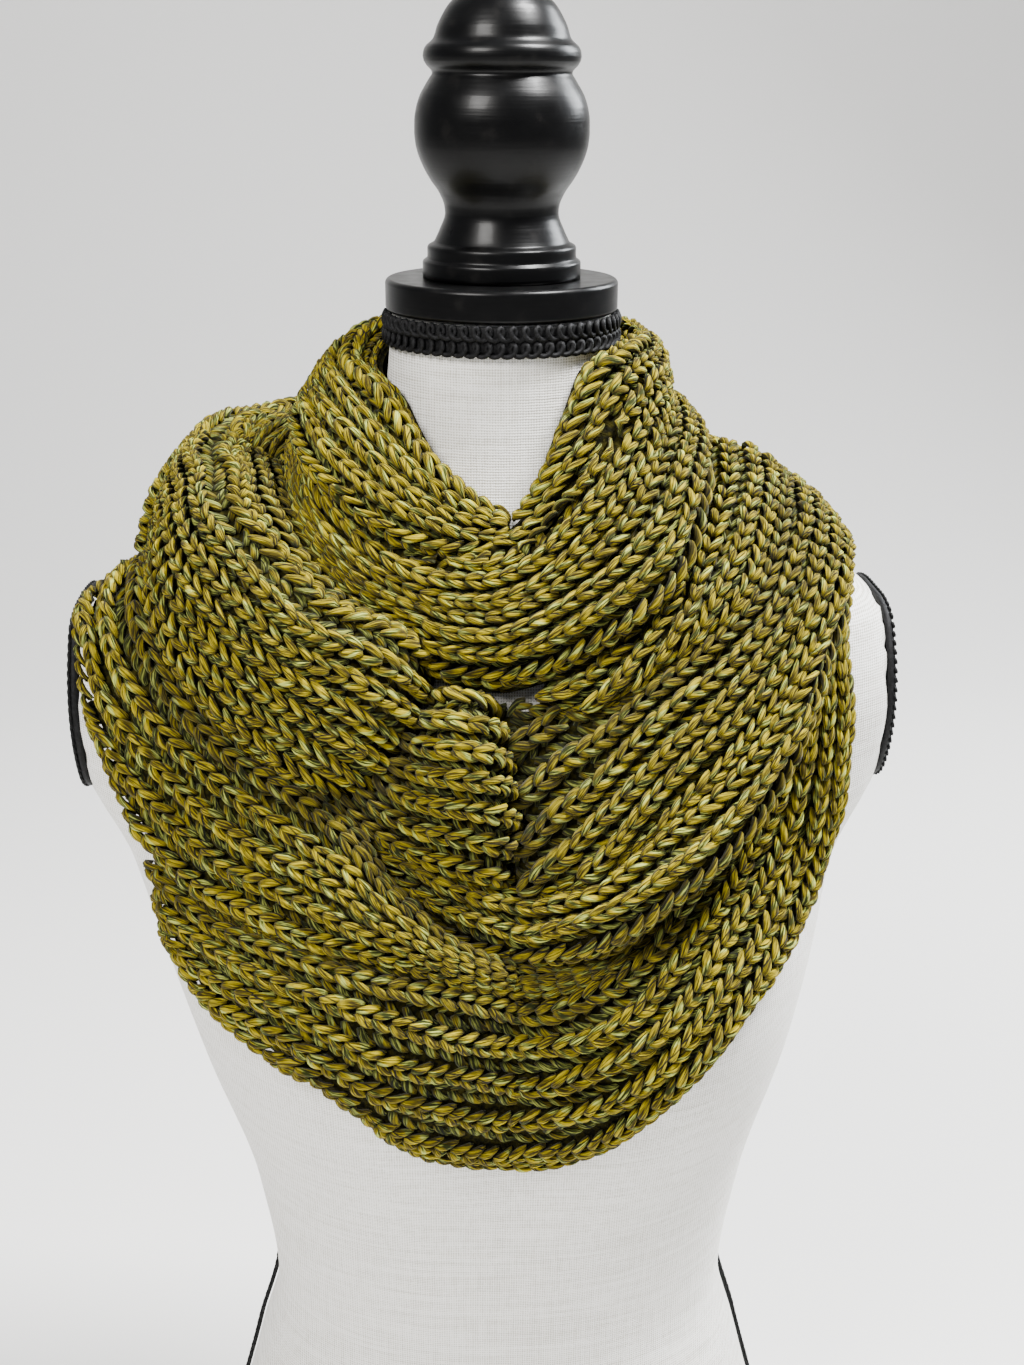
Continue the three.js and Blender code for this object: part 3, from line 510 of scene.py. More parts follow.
RIDGE_EDGE = [
    (-38, 200.5, 12, 20), (-34, 205.5, 12, 20), (-29, 213, 12, 20), (-24, 226, 13, 20), (-18, 236, 14, 21),
    (-13.5, 244, 15, 21), (-4, 252, 17, 18), (4, 254.5, 21, 12), (11, 254.5, 28, 8), (18.5, 251, 34, 6),
    (26, 243, 38, 6), (33, 235, 40, 6), (40.5, 223, 42, 6), (45, 212, 42, 6), (49.5, 199, 42, 6),
    (54, 183, 41, 7), (61, 166, 37, 10), (70, 152.5, 30, 15), (76, 149, 24, 18),
]
SWEEP_TOP = [row for row in LAP_EDGE if row[0] <= -38] + RIDGE_EDGE[1:]
SWAG_TOP = SWEEP_EDGE[:-1] + [row for row in RIDGE_EDGE if row[0] >= 33]
CURL_EDGE = [
    (-4, 151, 14, 14), (8, 153, 15, 15), (20.5, 157, 18, 18), (32.5, 149, 22, 22), (43, 143, 25, 25),
    (51, 135, 27, 27), (56, 127, 28, 28), (62, 117, 30, 30), (68, 109, 33, 33), (75, 103, 35, 35),
    (85, 100, 36, 36),
]
CHEST_EDGE = [
    (-38, 199, 12, 12), (-31, 208, 13, 13), (-24, 214, 13, 13), (-16, 219, 14, 14), (-8.5, 222, 15, 15),
    (-1, 225, 17, 17), (5, 228, 19, 19), (14.5, 226, 23, 23), (25.5, 214, 28, 28), (38, 199, 31, 31),
    (47, 184, 32, 32), (57.5, 165, 32, 32), (66, 152, 30, 30), (76, 144, 26, 26), (85, 142, 20, 20),
]
KNOT_TOP = [(-38, 146, 14, 14), (-21, 146, 16, 16), (-10, 145.5, 26, 26), (2, 148, 25, 25)]
HEM = [
    (-64, 312, 10, 10), (-45, 314, 10, 10), (-36, 315, 9, 9), (-29, 323, 8, 8), (-23, 333, 8, 8),
    (-16, 337, 8, 8), (-2.5, 338, 8, 8), (9.5, 339, 8, 8), (20, 335, 8, 8), (26.5, 327, 8, 8),
    (33, 315, 8, 8), (42.5, 294, 9, 9), (50, 284, 10, 10), (57, 269, 11, 11), (59.5, 259, 12, 12),
    (61, 236, 14, 14),
    (62, 208, 15, 15), (63.5, 183, 15, 15), (68.5, 159, 16, 16), (77, 151, 16, 16),
]
BACK_HEM = [
    (85, 142, 20, 20), (110, 164, 13, 13), (135, 182, 11, 11), (180, 192, 9, 9), (225, 186, 10, 10),
    (250, 172, 8, 8), (265, 161, 6, 6),
]

# A stretch has so many ribs from its upper line to its lower one, and it runs between two stations, which are
# azimuths: each a number, a table of share across against station, or the place where it meets a limiting
# line. A fan gives the azimuths on the two lines for a station. The belly is the height in millimetres that
# the middle stands out by, against station. A roll is a radius and a drop at that edge, the wall is where
# more chains lie on a rolled edge, and bound is where one lies across an end. The lean is how far the ribs
# start towards the lower line as a share of the width, the share of the length over which that fades, and
# how much wider they start. A painted shade against share across, and a run's painted shade against share
# along, darken the wool where the stretch goes under another one or turns under at a rolled edge. Flat is
# the cut of what shows, in metres, and rest is the least distance to the form.
STRETCHES = {
    "collar_left": dict(
        painted_shade=[(0, 1), (1, 1)],
        upper=NECK_EDGE, lower=COLLAR_FOLD, ribs=5, start=-179.8, end=-2,
        belly=[(-180, 6), (-90, 8), (-40, 6), (-2, 1)],
        rolls=dict(upper=(9, 8), lower=(9, 9)), flat=(0.055, 0.25)),
    "collar_right": dict(
        painted_shade=[(0, 0.8), (0.15, 1), (0.85, 1), (1, 0.85)],
        upper=COLLAR_GUIDE, lower=COLLAR_MIDDLE, ribs=5, end=179.8,
        start=dict(limit=COLLAR_FOLD, inside=30, outside=-78, gap=1.2),
        belly=[(-78, 2), (0, 5), (30, 7), (60, 6), (90, 5), (180, 6)],
        rolls=dict(upper=(9, 8)), flat=(0.055, 0.33)),
    "collar_front": dict(
        painted_shade=[(0, 0.5), (0.25, 1), (0.8, 1), (1, 0.6)],
        upper=COLLAR_MIDDLE, lower=COLLAR_EDGE, ribs=4, start=-179.8, end=179.8,
        belly=[(-180, 3), (-60, 1), (0, 4), (40, 6), (90, 4), (180, 3)],
        rolls=dict(lower=(12, [(-130, 14), (-100, 3), (-30, 2), (-18, 12), (0, 14), (35, 22), (75, 22),
                               (100, 14)])),
        flat=(0.04, 0.66)),
    "left_lap": dict(
        painted_shade=[(0, 0.5), (0.1, 1), (1, 1)],
        upper=COLLAR_EDGE, lower=LAP_EDGE, ribs=7, start=-94.9,
        end=[(0, -22), (0.17, -20.8), (0.29, -23), (0.39, -22.8), (0.56, -27.5), (0.66, -27.8), (0.82, -32.8),
             (1, -38)],
        belly=[(-95, 10), (-70, 7), (-40, 5), (-20, 4)],
        rolls=dict(upper=(16, 37), end=(14, 28)), wall=(0.002, 0.017, 0.045), flat=(0.09, 0.2)),
    "left_sweep": dict(
        painted_shade=[(0, 0.3), (0.12, 0.6), (0.35, 1), (1, 1)], run_painted_shade=[(0, 1), (0.6, 1), (0.85, 0.6), (1, 0.4)],
        upper=SWEEP_TOP, lower=SWEEP_EDGE, ribs=5, end=28, rest=2.2,
        start=[(0, -94.9), (0.2, -93), (0.3, -90), (0.4, -86), (0.5, -80), (0.6, -75), (0.7, -70.5),
               (0.8, -67), (0.9, -65), (1, -64)],
        belly=[(-95, 0), (-60, 3), (-20, 5), (31, 1)],
        rolls=dict(start=(10, 8), end=(8, 6)), bound=(0.016,), flat=(0.075, 0.27)),
    "lower_swag": dict(
        painted_shade=[(0, 0.45), (0.15, 0.8), (0.35, 1), (1, 1)],
        upper=SWAG_TOP, lower=HEM, ribs=5, end=100.8, rest=1.4,
        fan=[(-64, -64, -64), (0, 0, 0), (20, 18.5, 20), (33, 30, 33), (45, 38, 45), (55, 43, 53),
             (65, 47.5, 58), (75, 52, 61), (85, 59, 63.3), (95, 68, 71), (101, 75, 77)],
        start=[(0, -64), (0.2, -63.3), (0.4, -62.6), (0.6, -60), (0.7, -56), (0.8, -49), (0.9, -40),
               (1, -33)],
        belly=[(-64, 3), (-20, 7), (10, 8), (30, 3), (60, -1), (101, 0)],
        rolls=dict(start=(9, 6)), bound=(0.016,), flat=(0.08, 0.37)),
    "chest_fold": dict(
        painted_shade=[(0, 0.9), (0.2, 1), (1, 0.9)], run_painted_shade=[(0, 0.2), (0.3, 0.8), (0.55, 1), (1, 1)],
        upper=KNOT_TOP, lower=CHEST_EDGE, ribs=7,
        start=[(0, -17), (0.12, -21.2), (0.25, -21), (0.41, -25.6), (0.55, -26), (0.71, -31), (0.9, -35),
               (1, -36.8)],
        end=[(0, -8), (0.12, -4), (0.4, -1.4), (0.75, 0.2), (1, -1)],
        belly=[(-38, 2), (-24, 4), (-9, 15), (2, 15)],
        rolls=dict(upper=(13, 20), start=(9, 6), end=(12, 22)), flat=(0.085, 0.06)),
    "chest_swag": dict(
        painted_shade=[(0, 0.45), (0.3, 0.75), (0.65, 0.85), (1, 1)],
        run_painted_shade=[(0, 0.25), (0.1, 0.75), (0.2, 1), (1, 1)],
        upper=CURL_EDGE, lower=CHEST_EDGE, ribs=5, end=84.9, lean=(0.5, 0.4, 0.25),
        start=[(0, -3.2), (0.12, -3.2), (0.3, -0.6), (0.67, 0.9), (0.85, 0.5), (1, -0.1)],
        belly=[(0, 3), (40, 4), (85, 4)],
        rolls=dict(start=(7, 6)), flat=(0.07, 0.22)),
    "chest_ridge": dict(
        painted_shade=[(0, 1), (0.6, 1), (1, 0.5)],
        upper=CHEST_EDGE, lower=RIDGE_EDGE, ribs=3, start=-37, end=75.8,
        belly=[(-38, 0), (0, 2), (30, 5), (60, 5), (76, 0)],
        rolls=dict(lower=(13, 31)), wall=(0.965, 0.99), flat=(0.045, 0.26)),
    "upper_curl": dict(
        painted_shade=[(0, 0.35), (0.35, 1), (1, 0.9)],
        upper=COLLAR_EDGE, lower=CURL_EDGE, ribs=4, end=84.9, lean=(1.6, 0.55, 1.3),
        start=[(0, 11), (0.3, 8.8), (1, 7.6)],
        belly=[(8, 5), (40, 9), (85, 8)],
        rolls=dict(start=(8, 8)), flat=(0.035, 0.19)),
    "back_drape": dict(
        painted_shade=[(0, 0.5), (0.08, 1), (1, 1)],
        upper=COLLAR_EDGE, lower=BACK_HEM, ribs=9, start=85.1, end=264.9,
        belly=[(85, 15), (120, 10), (180, 6), (225, 8), (265, 9)],
        rolls=dict(upper=(16, [(85, 6), (180, 6), (225, 34), (250, 38), (265, 38)])),
        wall=(0.002, 0.012, 0.03), flat=(0.115, 0.56)),
}
SHELL_SINK = 3.1
SHELL_THICK = 2.2
SHELL_RIB = 1.8
SHELL_STEP = 5
SHELL_CUTS = 4
SHELL_ENDS = [0.002, 0.006, 0.994, 0.998]
REST_GAP = 0.9
END_HALVINGS = 30


def on_line(line, azimuth):
    """Azimuth less a turn where it is past the line's end, as a line that goes all round ends at 180."""
    return np.where(azimuth > line[-1][0] + 1, azimuth - 360, azimuth)


def plain_place(stretch, station, share):
    """Azimuth, distance down, height off the form before rolls, width across and millimetres a degree.

    Each goes evenly from the upper line to the lower one, and the height has a parabola of the belly's
    height added to it between them.
    """
    fan = stretch.get("fan")
    first = column(fan, 1, station) if fan else station
    last = column(fan, 2, station) if fan else station
    above, below = on_line(stretch["upper"], first), on_line(stretch["lower"], last)
    downs = column(stretch["upper"], 1, above), column(stretch["lower"], 1, below)
    lifts = column(stretch["upper"], 3, above), column(stretch["lower"], 2, below)
    azimuth = first + (last - first) * share
    down = downs[0] + (downs[1] - downs[0]) * share
    bulge = 4 * share * (1 - share) * column(stretch["belly"], 1, station)
    lift = lifts[0] + (lifts[1] - lifts[0]) * share + bulge
    radius = NECK_RADIUS + down * np.sin(SLOPE) + (form_lift(azimuth, down) + lift) * np.cos(SLOPE)
    degree = np.radians(radius)
    width = np.hypot(downs[1] - downs[0], (last - first) * degree)
    return azimuth, down, lift, width, degree


def end_station(stretch, end, share):
    """Station where each line across ends: a number, a table of share, or where it meets a limiting line."""
    if isinstance(end, list):
        return column(end, 1, share)
    if not isinstance(end, dict):
        return np.full_like(share, end)
    first_azimuth = end["limit"][0][0]

    def clear(station):
        azimuth, down, *_ = plain_place(stretch, station, share)
        return (azimuth < first_azimuth) | (down - column(end["limit"], 1, azimuth) > end["gap"])

    near = np.full_like(share, end["inside"])
    far = np.full_like(share, end["outside"])
    beyond = clear(far)
    for _ in range(END_HALVINGS):
        middle = (near + far) / 2
        ok = clear(middle)
        near = np.where(ok, middle, near)
        far = np.where(ok, far, middle)
    return np.where(beyond, end["outside"], near)


def roll_drop(distance, roll, station):
    """Height lost at a distance from a rolled edge: a quarter round of its radius and drop."""
    if not roll:
        return 0.0
    radius, drop = roll
    if isinstance(drop, list):
        drop = column(drop, 1, station)
    rest = 1 - np.clip(distance, 0, radius) / radius
    return drop * (1 - np.sqrt(1 - rest * rest))


def cloth_point(stretch, along, share, height, least=0.0):
    """Points of a stretch at a share along it, a share across it and a height over its plain face.

    What the rolls take at the four edges comes off the height, which never falls under the rest distance.
    """
    along, share, height = np.broadcast_arrays(np.asarray(along, float), np.asarray(share, float), height)
    inner = np.clip(share, 0, 1)
    start = end_station(stretch, stretch["start"], inner)
    end = end_station(stretch, stretch["end"], inner)
    station = start + (end - start) * along
    azimuth, down, lift, width, degree = plain_place(stretch, station, share)
    rolls = stretch["rolls"]
    lost = (roll_drop(inner * width, rolls.get("upper"), station)
            + roll_drop((1 - inner) * width, rolls.get("lower"), station)
            + roll_drop(np.abs(station - start) * degree, rolls.get("start"), station)
            + roll_drop(np.abs(end - station) * degree, rolls.get("end"), station))
    rest = stretch.get("rest", REST_GAP) + least
    off = np.maximum(lift - lost + height, rest)
    return slope_point(azimuth, down, form_lift(azimuth, down) + off)


def shell_mesh(name, stretch, material):
    """The cloth behind the stitches: an outer face with a squared sine for each rib and a plain inner face.

    Both are grids of the same size, and a band of faces round the edge joins them.
    """
    ribs = stretch["ribs"]
    across = np.linspace(0, 1, ribs * SHELL_CUTS + 1)
    steps = int(stretch["flat"][1] * 1000 / SHELL_STEP)
    along = np.unique(np.concatenate([np.linspace(0, 1, steps), SHELL_ENDS]))
    wave = SHELL_RIB * np.sin(np.pi * across * ribs) ** 2
    outer = cloth_point(stretch, along[:, None], across[None, :], wave[None, :] - SHELL_SINK, SHELL_THICK)
    inner = cloth_point(stretch, along[:, None], across[None, :], -SHELL_SINK - SHELL_THICK)
    rows, columns = outer.shape[:2]
    shift = rows * columns
    front = grid_faces(rows, columns)[:, ::-1]
    back = grid_faces(rows, columns, first=shift)
    ring = np.concatenate([np.arange(columns), np.arange(1, rows) * columns + columns - 1,
                           (rows - 1) * columns + np.arange(columns - 2, -1, -1),
                           np.arange(rows - 2, 0, -1) * columns])
    after = np.roll(ring, -1)
    edge = np.stack([ring, after, after + shift, ring + shift], -1)
    points = np.concatenate([outer.reshape(-1, 3), inner.reshape(-1, 3)])
    return make_mesh(name, points, [front, back, edge], material)


# The kinds of chain, in millimetres. A leg is long stitch lengths and turns spread off the middle line. It is
# broad and tall at its middle, stands at a height, arches by arch and ends lower by fall. Spare comes off the
# room across a chain, stitches with less than least are left out, and a leg has its full size where the room
# is full, up to most times. Sway is a slow wave of the middle line, shift moves both legs to one side, and
# depth is 1 in a valley. Reach is half the width that an edge chain's sideways direction is taken over.
RIB_STITCH = dict(spare=0.0, least=1.6, full=12.0, most=1.25, rings=6, sides=6, long=1.3, spread=2.75,
                  broad=1.9, tall=1.8, height=2.1, arch=1.0, fall=2.8, sway=0.12, shift=0.0, depth=0.0)
VALLEY_STITCH = dict(spare=4.8, least=1.5, full=7.2, most=1.4, rings=6, sides=5, long=1.15, spread=3.5,
                     broad=1.9, tall=1.5, height=-1.9, arch=0.6, fall=0.2, sway=0.12, shift=-1.0, depth=1.0)
EDGE_STITCH = dict(VALLEY_STITCH, spread=2.2, full=9.0, height=-0.8, shift=0.0, reach=0.012, depth=0.0)
WALL_STITCH = dict(RIB_STITCH, reach=0.006)
STITCH_PITCH = 7.5
EDGE_ROOM = 8.0
EDGE_MARGIN = 0.002
RIB_MARGIN = 0.05
EDGE_SHARES = [0.004, 0.99]
LEG_TURN = 0.58
LEG_GAP = 0.35
SWELL = dict(start=0.13, span=0.76, power=0.4)
LOOSE = dict(first=0.3, length=0.05, spread=0.08, aside=0.15, girth=0.07, height=0.22, along=0.25)
PATH_STEPS = 420
PATH_ENDS = np.geomspace(0.0004, 0.02, 16)
BOUND_STEPS = 160
BOUND_MARGIN = 0.015
BOUND_BACK = 0.01
NO_LEAN = (0, 1, 0)
LEAN_POWER = 1.6
SWAY_LENGTH = 60
SWAY_PHASE = 47


def total_turns(stretch):
    """Radians of the slow sideways sway of a chain, about one wave in 60 mm."""
    return stretch["flat"][1] * 1000 / SWAY_LENGTH * 2 * np.pi


def along_path(stretch, share, shape):
    """Middle line of a chain along a stretch, the way sideways off it, its room, share across and painted
    shade.
    """
    along = np.unique(np.concatenate([np.linspace(0, 1, PATH_STEPS), 1 - PATH_ENDS, PATH_ENDS]))
    reach = shape.get("reach", 0.5 / stretch["ribs"])
    amount, far, wider = NO_LEAN if "reach" in shape else stretch.get("lean", NO_LEAN)
    near_start = np.clip(1 - along / far, 0, 1) ** LEAN_POWER
    share = 0.5 + (share - 0.5) * (1 + wider * near_start) + amount * near_start
    sway = shape["sway"] * reach * np.sin(along * total_turns(stretch) + share * SWAY_PHASE)
    middle = cloth_point(stretch, along, np.clip(share + sway, 0, 1), 0.0, SHELL_THICK)
    low, high = np.clip(share - reach, 0, 1 - reach), np.clip(share + reach, reach, 1)
    sideways = cloth_point(stretch, along, high, 0.0) - cloth_point(stretch, along, low, 0.0)
    length = np.linalg.norm(sideways, axis=1)
    tangent = np.gradient(middle, axis=0)
    tangent /= np.linalg.norm(tangent, axis=1)[:, None] + 1e-9
    sideways /= length[:, None] + 1e-9
    room = length * 2 * reach / (high - low) * (1 + wider * near_start)
    room *= np.linalg.norm(np.cross(sideways, tangent), axis=1)
    # Painted shade from the stretch's tables: darker where it goes under another stretch or turns under.
    painted_shade = column(stretch["painted_shade"], 1, share) * column(stretch.get("run_painted_shade", [(0, 1), (1, 1)]), 1, along)
    return middle, sideways, room, share, painted_shade


def end_path(stretch, along):
    """The same for a chain that runs across the ribs at one end of a stretch."""
    share = np.linspace(BOUND_MARGIN, 1 - BOUND_MARGIN, BOUND_STEPS)
    middle = cloth_point(stretch, along, share, 0.0, SHELL_THICK)
    inward = np.sign(0.5 - along)
    inside = cloth_point(stretch, along + BOUND_BACK * inward, share, 0.0)
    sideways = (cloth_point(stretch, along, share, 0.0) - inside) * inward
    return middle, sideways, np.full(BOUND_STEPS, EDGE_ROOM), share, column(stretch["painted_shade"], 1, share)


def stitch_chain(path, shape, rng, backwards):
    """One chain of V stitches along a path: points, faces, end faces, and yarn coordinates with the painted
    shade.

    A leg is a tube that comes up on the middle line between the legs of the V before it, leans out to
    one side and dives under the next V. Along its length u its distance from the middle line rises to
    its full spread as a sine and turns back a little, its height is an arch that falls towards the end, and
    its thickness swells and tapers as a power of a sine. Each leg is a little different.
    """
    middle, sideways, width, share, path_painted_shade = path
    tangent = np.gradient(middle, axis=0)
    tangent /= np.linalg.norm(tangent, axis=1)[:, None] + 1e-9
    outward = np.cross(sideways, tangent)
    outward /= np.linalg.norm(outward, axis=1)[:, None] + 1e-9
    sideways = np.cross(tangent, outward)
    distance = np.concatenate([[0], np.cumsum(np.linalg.norm(np.diff(middle, axis=0), axis=1))])
    total = distance[-1]
    count = max(int(round(total / STITCH_PITCH)), 1)
    step = total / count
    first = np.arange(count) * step + step * LOOSE["first"] * rng.uniform(0, 1)
    across = np.interp(first + step / 2, distance, share)
    if "reach" in shape:
        room = np.full(count, EDGE_ROOM)
        keep = (across > EDGE_MARGIN) & (across < 1 - EDGE_MARGIN) & (first > step)
    else:
        room = np.interp(first + step / 2, distance, width) - shape["spare"]
        keep = (room > shape["least"]) & (across > RIB_MARGIN) & (across < 1 - RIB_MARGIN)
    first, room = first[keep], room[keep]
    # Painted shade of each stitch, read off the path.
    painted_shade = np.interp(first + step / 2, distance, path_painted_shade)
    if len(first) == 0:
        return None
    legs = len(first)
    rings, sides = shape["rings"], shape["sides"]
    u = np.linspace(0, 1, rings)[None, None, :, None]
    theta = (np.arange(sides) * 2 * np.pi / sides)[None, None, None, :]
    side = np.array([-1.0, 1.0])[None, :, None, None]
    loose = rng.normal(0, 1, (6, legs, 2, 1, 1))
    k = np.clip(room / shape["full"], 0.3, shape["most"])[:, None, None, None]
    length = step * (shape["long"] + LOOSE["length"] * loose[0])
    spread = shape["spread"] * k * (1 + LOOSE["spread"] * loose[1])
    lateral = (side * (LEG_GAP + spread * np.sin(np.pi * LEG_TURN * u)) + LOOSE["aside"] * loose[2]
               + shape["shift"] * k)
    angle = np.arctan2(side * spread * np.pi * LEG_TURN * np.cos(np.pi * LEG_TURN * u), length)
    swell = np.sin(np.pi * (SWELL["start"] + SWELL["span"] * u)) ** SWELL["power"]
    girth = (0.55 + 0.45 * k) * (1 + LOOSE["girth"] * loose[3])
    broad = shape["broad"] * girth * swell
    tall = shape["tall"] * girth * swell
    height = (shape["height"] + shape["arch"] * np.sin(np.pi * u ** 0.6) + shape["fall"] * (0.25 - u ** 2)
              + LOOSE["height"] * loose[4])
    run = u * length + LOOSE["along"] * loose[5]
    across_offset = broad * np.cos(theta)
    s_out = run - np.sin(angle) * across_offset
    s = first[:, None, None, None] + (step - s_out if backwards else s_out)
    sidestep = lateral + np.cos(angle) * across_offset
    outstep = height + tall * np.sin(theta)
    s, sidestep, outstep = np.broadcast_arrays(s, sidestep, outstep)
    flat_s = s.ravel()
    over = np.clip(flat_s, 0, total)

    def follow(values):
        return np.stack([np.interp(over, distance, values[:, axis]) for axis in range(3)], -1)

    points = (follow(middle) + follow(sideways) * sidestep.ravel()[:, None]
              + follow(outward) * outstep.ravel()[:, None]
              + follow(tangent) * np.clip(flat_s - over, -3, 3)[:, None])
    wall, first_end, last_end = closed_tube(rings, sides)
    starts = (np.arange(legs * 2) * rings * sides)[:, None, None]
    faces = (wall[None] + starts).reshape(-1, 4)
    caps = (np.concatenate([first_end, last_end])[None] + starts).reshape(-1, sides)
    if backwards:
        faces, caps = faces[:, ::-1], caps[:, ::-1]
    mark = rng.uniform(0, 1, (legs, 2, 1, 1)) + shape["depth"]
    size = (legs, 2, rings, sides)
    yarn = np.stack([np.broadcast_to(part, size).ravel()
                     for part in (theta / (2 * np.pi), u * length, mark, painted_shade[:, None, None, None])], -1)
    return points, faces, caps, yarn


def stitches(name, stretch, material, rng, backwards):
    """All chains of one stretch: a raised one on each rib, a sunken one in each valley, one on each edge.

    More raised ones lie on a rolled wall and across a bound end. Backwards turns the stitches round.
    """
    ribs = stretch["ribs"]
    extra = int(np.ceil(stretch.get("lean", NO_LEAN)[0] * ribs))
    kinds = [(RIB_STITCH, [(i + 0.5) / ribs for i in range(-extra, ribs)]),
             (VALLEY_STITCH, [i / ribs for i in range(1 - extra, ribs)]),
             (EDGE_STITCH, EDGE_SHARES),
             (WALL_STITCH, stretch.get("wall", []))]
    chains = [stitch_chain(along_path(stretch, share, shape), shape, rng, backwards)
              for shape, shares in kinds for share in shares]
    chains += [stitch_chain(end_path(stretch, along), RIB_STITCH, rng, False)
               for along in stretch.get("bound", [])]
    chains = [chain for chain in chains if chain]
    starts = np.concatenate([[0], np.cumsum([len(chain[0]) for chain in chains])])
    points = np.concatenate([chain[0] for chain in chains])
    faces = [chain[k] + first for k in (1, 2) for chain, first in zip(chains, starts)]
    piece = make_mesh(name, points, faces, material)
    yarn = np.concatenate([chain[3] for chain in chains]).astype(np.float32)
    piece.data.attributes.new("yarn", "FLOAT_VECTOR", "POINT").data.foreach_set("vector", yarn[:, :3].ravel())
    # The painted shade goes to the wool as a point attribute of its own.
    piece.data.attributes.new("painted_shade", "FLOAT", "POINT").data.foreach_set("value", yarn[:, 3].copy())
    return piece


# The wool deep in the knit, which shows only between the stitches. Its near black is painted shade of the
# knit's depth, mottled by noise.
PAINTED_SHADE_DEEP = (0.004, 0.004, 0.001, 1)
PAINTED_SHADE_SOFT = (0.026, 0.022, 0.002, 1)
painted_shade_wool, shader, place = new_material("wool in the depth of the knit")
feed(shader, "Base Color", place.noise(420.0, 3.0).ramp(0.35, 0.7).tint(PAINTED_SHADE_DEEP, PAINTED_SHADE_SOFT))
shader.inputs["Roughness"].default_value = 1.0
shader.inputs["Specular IOR Level"].default_value = 0.1
relief(shader, place.noise(900.0, 2.0), 0.8)

# Marled wool: mustard with patches of sage laid in its twist, more of them in the valleys, fibres drawn out
# along it, and in about six legs of ten a thin dark thread. Painted shade darkens it towards the near black
# of the knit's depth: on the underside of a leg, where a leg comes up from the one before, in the valleys and
# where a stretch goes under another one. The yarn attribute holds the turn round the leg, the distance along
# it in millimetres and a number of its own, over 1 for a leg in a valley.
MUSTARD = (0.022, 0.0155, 0.0004, 1), (0.44, 0.345, 0.0025, 1)
SAGE = (0.016, 0.02, 0.001, 1), (0.43, 0.47, 0.085, 1)
DARK_THREAD = (0.004, 0.005, 0.005, 1)
wool, shader, place = new_material("marled wool yarn")
turn, length_along, mark = place.node("ShaderNodeSeparateXYZ", {0: place.node(
    "ShaderNodeAttribute", {}, "Vector", attribute_name="yarn")}).outputs(3)
twist = (turn + length_along * 0.06 + mark * 7.0).math("FRACT")
fibre = place.node("ShaderNodeCombineXYZ", {
    0: (turn + length_along * 0.02) * 16.0, 1: length_along * 0.13, 2: mark * 40.0}).noise(1.0, 3.0)
patch = place.node("ShaderNodeCombineXYZ", {
    0: turn * 1.3, 1: length_along * 0.1, 2: mark * 90.0}).noise(1.0, 1.0)
valley = mark.ramp(0.999, 1.0)
sage_share = (twist + (patch - 0.5) * 0.7 + valley * 0.4).ramp(0.72, 0.8)
mustard = fibre.ramp(0.36, 0.74).tint(*MUSTARD)
sage = fibre.ramp(0.43, 0.66).tint(*SAGE)
thread = (twist - 0.56).math("ABSOLUTE")
dark = (1.0 - thread.ramp(0.015, 0.05)) * mark.math("FRACT").ramp(0.35, 0.45)
# Painted shade: darker on the underside of each leg, where it comes up from the one before and in a valley.
painted_underside_shade = (turn * 6.2832).math("SINE").ramp(-0.7, 0.5)
painted_tuck_shade = length_along.ramp(-1.0, 2.6)
painted_shade = place.node("ShaderNodeAttribute", {}, "Fac", attribute_name="painted_shade")
deep = painted_shade * (1.0 - valley * 0.42) * (0.12 + 0.88 * painted_underside_shade) * (0.25 + 0.75 * painted_tuck_shade)
blend = dark.tint(sage_share.tint(mustard, sage), DARK_THREAD)
# The painted shade mixes the yarn towards the near black of the knit's depth.
feed(shader, "Base Color", deep.tint(PAINTED_SHADE_DEEP, blend))
shader.inputs["Roughness"].default_value = 0.95
shader.inputs["Specular IOR Level"].default_value = 0.16
shader.inputs["Sheen Weight"].default_value = 0.05
shader.inputs["Sheen Roughness"].default_value = 0.5
relief(shader, fibre, 0.9)

rng = np.random.default_rng(7)
for name, stretch in STRETCHES.items():
    # The cloth behind the stitches carries the painted shade of the knit's depth.
    shell = shell_mesh(name + "_cloth", stretch, painted_shade_wool)
    knit = stitches(name + "_stitches", stretch, wool, rng, name == "left_lap")
    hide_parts(name)

# Camera, as the picture was taken: a little above the form, looking down at it.
YAW, PITCH, ROLL = np.radians(3.0), np.radians(20.0), np.radians(0.3)
EYE = (-0.0343, -0.759, 0.837)
forward = np.array([np.sin(YAW) * np.cos(PITCH), np.cos(YAW) * np.cos(PITCH), -np.sin(PITCH)])
level = np.array([np.cos(YAW), -np.sin(YAW), 0])
upright = np.cross(level, forward)
right = level * np.cos(ROLL) + upright * np.sin(ROLL)
up = upright * np.cos(ROLL) - level * np.sin(ROLL)
camera = bpy.data.cameras.new("camera")
camera.lens = 44.83
camera.sensor_width = 36
camera.clip_end = 50
eye = bpy.data.objects.new("camera", camera)
eye.matrix_world = Matrix((
    (right[0], up[0], -forward[0], EYE[0]), (right[1], up[1], -forward[1], EYE[1]),
    (right[2], up[2], -forward[2], EYE[2]), (0, 0, 0, 1)))
bpy.context.scene.collection.objects.link(eye)
bpy.context.scene.camera = eye

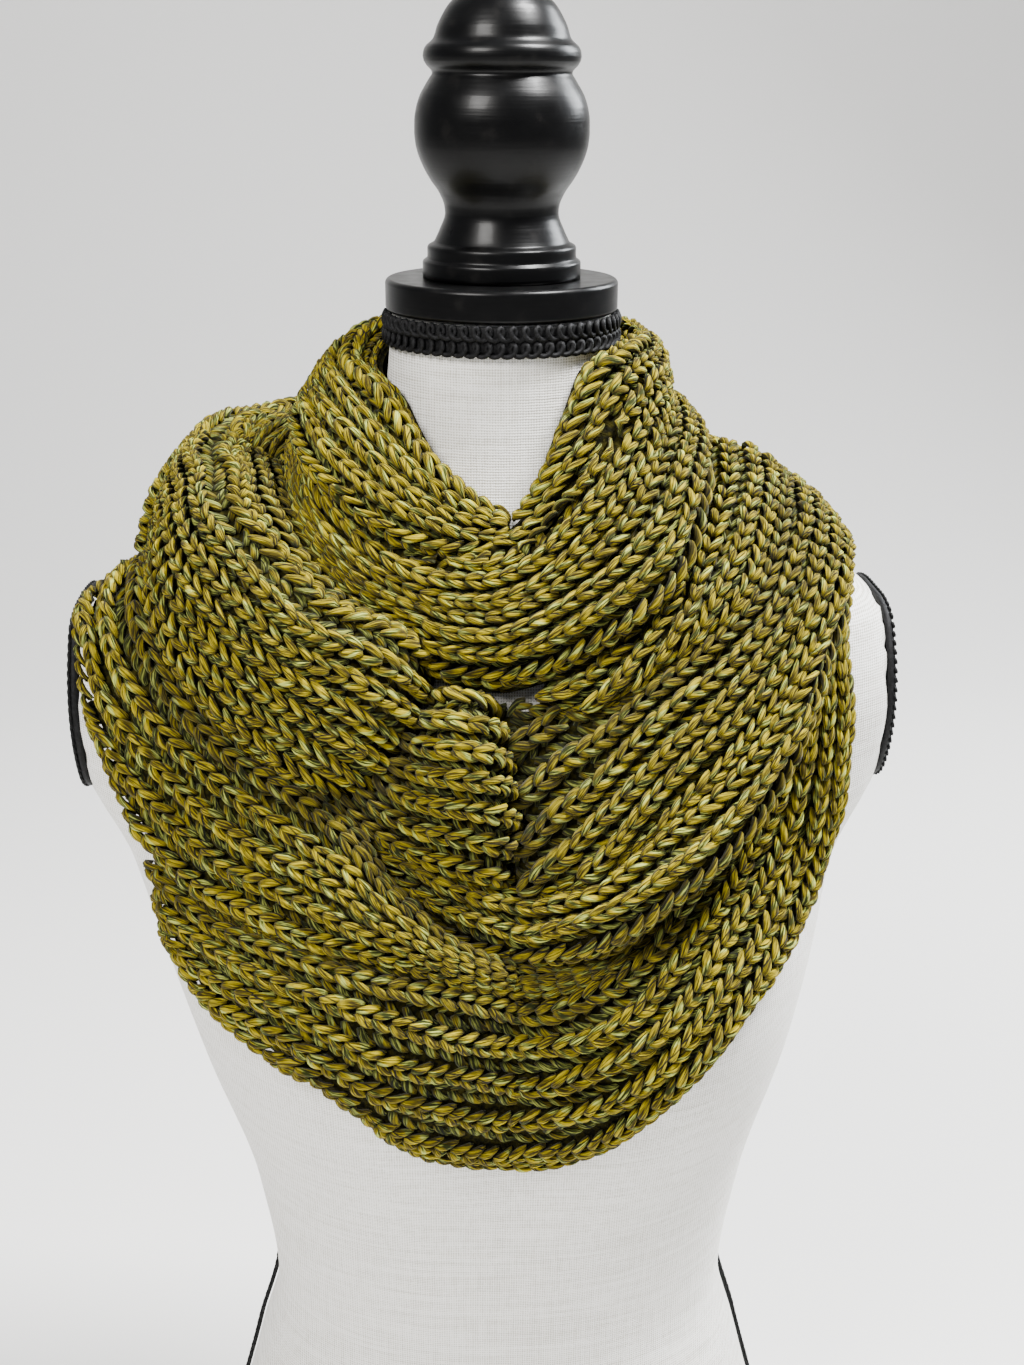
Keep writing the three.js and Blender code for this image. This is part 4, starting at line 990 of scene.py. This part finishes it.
# A plain pale floor that bends up into a backdrop, in soft daylight: a window in front on the left, a fill
# from behind on the right and a small bright one from above.
FLOOR_HALF = 6000
FLOOR_FRONT = -5000.0
BEND_RADIUS = 1500
BEND_STEPS = 13
BACKDROP_TOP = 6000.0
floor_look, shader, place = new_material("pale floor")
shader.inputs["Base Color"].default_value = (0.82, 0.81, 0.79, 1)
shader.inputs["Roughness"].default_value = 0.9
bend = np.radians(np.linspace(0, 90, BEND_STEPS))
curve = np.stack([BEND_RADIUS + BEND_RADIUS * np.sin(bend), BEND_RADIUS - BEND_RADIUS * np.cos(bend)], -1)
sweep = np.concatenate([[(FLOOR_FRONT, 0.0)], curve, [(2.0 * BEND_RADIUS, BACKDROP_TOP)]])
floor_points = np.array([(x, y, z) for y, z in sweep for x in (-FLOOR_HALF, FLOOR_HALF)])
floor_mesh = bpy.data.meshes.new("floor")
floor_mesh.from_pydata((floor_points * MM).tolist(), [],
                       [(2 * i, 2 * i + 1, 2 * i + 3, 2 * i + 2) for i in range(len(sweep) - 1)])
floor_mesh.polygons.foreach_set("use_smooth", np.full(len(sweep) - 1, True))
floor_mesh.materials.append(floor_look)
floor = bpy.data.objects.new("floor", floor_mesh)
bpy.context.scene.collection.objects.link(floor)

LIGHTS = [
    # name, place and aim in metres, size, watts, colour
    ("window", (-1.0, -1.3, 2.0), (0, 0, 0.6), 0.8, 74, (1.0, 0.98, 0.95)),
    ("fill", (1.55, 0.95, 1.5), (0, 0, 0.55), 0.8, 66, (0.93, 0.97, 1.0)),
    ("top", (0.75, -0.15, 2.15), (0, 0, 0.62), 0.45, 135, (1, 1, 1)),
]
for name, spot, aim, size, energy, colour in LIGHTS:
    light = bpy.data.lights.new(name, "AREA")
    light.size = size
    light.energy = energy
    light.color = colour
    lamp = bpy.data.objects.new(name, light)
    towards = (Vector(aim) - Vector(spot)).to_track_quat("-Z", "Y")
    lamp.matrix_world = Matrix.Translation(spot) @ towards.to_matrix().to_4x4()
    bpy.context.scene.collection.objects.link(lamp)
world = bpy.data.worlds.new("daylight")
world.use_nodes = True
sky = world.node_tree.nodes["Background"]
sky.inputs["Color"].default_value = (0.9, 0.93, 1.0, 1)
sky.inputs["Strength"].default_value = 0.3
bpy.context.scene.world = world
